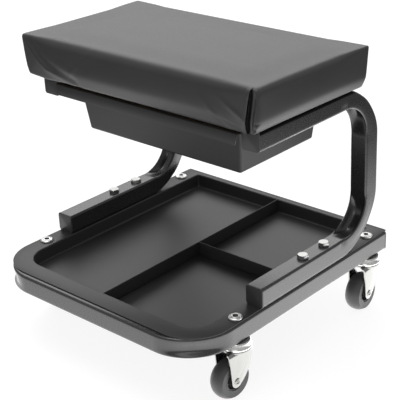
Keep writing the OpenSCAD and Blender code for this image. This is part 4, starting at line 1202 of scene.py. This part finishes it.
def cover(points, swell):
    """The points of the net laid on the skin of the cover, in millimetres."""
    core, way = from_core(points)
    part = np.abs(way)
    front, hem = smooth(-way[:, 1] / 0.4), smooth(-way[:, 2] / 0.3)
    at_rear, at_left = points[:, 1] > PAD_Y, points[:, 0] < 0
    middle = np.array([0, PAD_Y, PAD_BOTTOM_Z + PAD_H / 2])
    room = np.array([PAD_HALF_W, PAD_HALF_D, PAD_H / 2]) - np.abs(points - middle)
    corner = smooth(1 - np.hypot(room[:, 0], room[:, 1]) / CORNER_REACH)
    tight = np.where(at_rear, TIGHT_REAR, np.where(at_left, TIGHT_LEFT, TIGHT_RIGHT))
    power = (TOP_POWER - FRONT_SOFTER * front) * (1 - corner) + tight * corner
    power = power * (1 - hem) + HEM_POWER * hem
    reach = PAD_CORE * (part ** power[:, None]).sum(1) ** (-1 / power)
    near = smooth(1 - room / SWELL_FADE)
    free = np.prod(1 - near * (1 - part ** 2), axis=1)
    x, y, z = (core + way * (reach + SWELL_KEPT * swell * free)[:, None] - [0, PAD_Y, PAD_BOTTOM_Z]).T

    across, along = np.clip(x / PAD_HALF_W, -1, 1), np.clip(y / PAD_HALF_D, -1, 1)
    rear, arch = (1 + along) / 2, 1 - across ** 2
    z = z + PAD_CROWN * z / PAD_H * arch * (1 - along ** 2)
    side_slope = np.where(x > 0, SIDE_SLOPE[1] - 0.03 * rear, SIDE_SLOPE[0])
    side = lean_in(z, SIDE_CREASE - 2 * rear, SIDE_SOFT, side_slope) + PAD_BOW * (1 - along ** 4)
    front_lean = lean_in(z, FRONT_CREASE, FRONT_SOFT, FRONT_SLOPE + 0.10 * arch)
    front_lean = front_lean * smooth((x - FRONT_START_X) / 45)
    back_lean = BACK_SLOPE * np.maximum(PAD_H - z, 0)
    end = np.where(along < 0, front_lean, back_lean) * np.abs(along) + PAD_BOW * (1 - across ** 4)
    x, y = x * (1 - side / PAD_HALF_W), y * (1 - end / PAD_HALF_D)
    raised = HEM_RAISE + (HEM_RAISE_REAR - HEM_RAISE) * rear
    z = z + raised * smooth((x - HEM_RAISE_X) / 5) * smooth(1 - z / HEM_RAISE_H)
    flare = corner * np.where(at_rear, FLARE_REAR, np.where(at_left, FLARE_LEFT, 0))
    x, y = x + flare * np.sign(x), y + 0.6 * flare * np.sign(y)
    return np.stack([x, y + PAD_Y, z * (1 - PAD_REAR_DROP * rear) + PAD_BOTTOM_Z], 1)


swell = np.empty(len(pad.data.vertices))
pad.data.attributes["swell"].data.foreach_get("value", swell)
pad.data.attributes.remove(pad.data.attributes["swell"])
set_coordinates(pad.data, cover(coordinates(pad.data) / MM, swell) * MM)

# %% [markdown]
# A fold is drawn along a line on the front panel, given by its points from the side as
# (x, z). Each number beside the line is stated along it, from its first point at 0 to its
# last at 1: how wide the slit is, how deep, and how far its roll stands out.

# %% Folds of the cover
TUCK = [(183.0, 379.0), (181.6, 371.0), (177.8, 354.0), (174.6, 338.0), (172.4, 321.0)]
TUCK_WIDTH = (0, 0.15, 0.45, 0.7, 1.0), (0.4, 1.8, 3.0, 3.2, 2.4)
TUCK_DEPTH = (0, 0.2, 0.7, 1.0), (4.0, 9.0, 9.0, 6.0)
TUCK_ROLL = (0, 0.3, 0.8, 1.0), (0.6, 3.0, 3.4, 1.6)
CREASE = [(-190.0, 374.0), (-184.0, 367.5), (-177.6, 360.3), (-165.3, 346.7), (-149.7, 336.8),
          (-125.5, 328.7), (-108.0, 323.0)]
PULLS = [(150, 352, -0.55, 0.7), (140, 336, -0.25, 0.6), (120, 346, -0.9, 0.5), (-100, 345, 0.9, 0.4)]
PULL_WIDTH, PULL_MIDDLE, PULL_LENGTH = 4, 12, 22
PANEL_Y, PANEL_FADE = -66, 12  # the folds move what lies in front of this
POCKET_HALF_W, POCKET_HALF_D, POCKET_R, POCKET_TOP = 177.0, 90.5, 12.0, 13.8


def line_distance(x, z, line):
    """Signed distance to a line of (x, z) points, positive to its right, and the share along it."""
    best = np.full(len(x), 1e9)
    sign, share = np.zeros(len(x)), np.zeros(len(x))
    for k, ((x0, z0), (x1, z1)) in enumerate(zip(line, line[1:])):
        dx, dz = x1 - x0, z1 - z0
        t = np.clip(((x - x0) * dx + (z - z0) * dz) / math.hypot(dx, dz) ** 2, 0, 1)
        gap = np.hypot(x - x0 - t * dx, z - z0 - t * dz)
        closer = gap < best
        best = np.where(closer, gap, best)
        sign = np.where(closer, np.sign((x - x0) * -dz + (z - z0) * dx), sign)
        share = np.where(closer, (k + t) / (len(line) - 1), share)
    return best * sign, share


def front_fold(x, y, z, front):
    """The front left corner: the cover is turned over on a slanting crease, below which it leans in."""
    crease, along = line_distance(x, z, CREASE)
    drawn_in = front * lean_in(crease, 0, 2.2, 0.28)
    lip = front * 0.7 * ridge(crease, 2.0, 3.0) * smooth(along * 4) * smooth((1 - along) * 3)
    hollow = front * 1.3 * ridge(crease, 10.0, 5.5) * smooth(along * 3)
    return x - 0.75 * drawn_in * smooth((-x - 160) / 25), y + drawn_in - lip + hollow


def front_tuck(x, y, z, front):
    """The front right corner: a rolled edge and beside it a slit that runs in under the front panel."""
    slit, along = line_distance(x, z, TUCK)
    width = np.interp(along, *TUCK_WIDTH)
    opened = smooth(along * 6) * front
    inside = opened * smooth(slit + 0.5)
    depth = 0.7 * inside * smooth((width - slit) / 1.4 + 0.4) * np.interp(along, *TUCK_DEPTH)
    roll = inside * smooth((width + 8 - slit) / 5) * np.interp(along, *TUCK_ROLL)
    lip = opened * 1.4 * ridge(slit, -2.8, 2.2)
    return x - depth, y + depth + roll - lip


pocket = outline(POCKET_HALF_W, -POCKET_HALF_D, POCKET_HALF_D, POCKET_R, POCKET_R, 0, 8)
pocket = [[(x, y + PAD_Y, z) for x, y, _ in pocket] for z in (LEG_TOP - 2, LEG_TOP + POCKET_TOP)]
cut_with(pad, joined_rings(pocket), 60)

x, y, z = (coordinates(pad.data) / MM).T
beside_pocket = z < LEG_TOP + POCKET_TOP + 0.7
clear = smooth((PAD_Y - POCKET_HALF_D - 0.5 - y) / 2.5)
front = smooth((PANEL_Y - y) / PANEL_FADE) * np.where(beside_pocket, clear, 1)
x, y = front_fold(x, y, z, front)
x, y = front_tuck(x, y, z, front)
for start_x, start_z, slope, strength in PULLS:
    off_line = (z - start_z) - slope * (x - start_x)
    y = y - front * strength * ridge(off_line, 0, PULL_WIDTH) * ridge(x, start_x + PULL_MIDDLE, PULL_LENGTH)
set_coordinates(pad.data, np.stack([x, y, z], 1) * MM)
shade(pad.data, 60)
settle(pad, "chassis", "cushion")
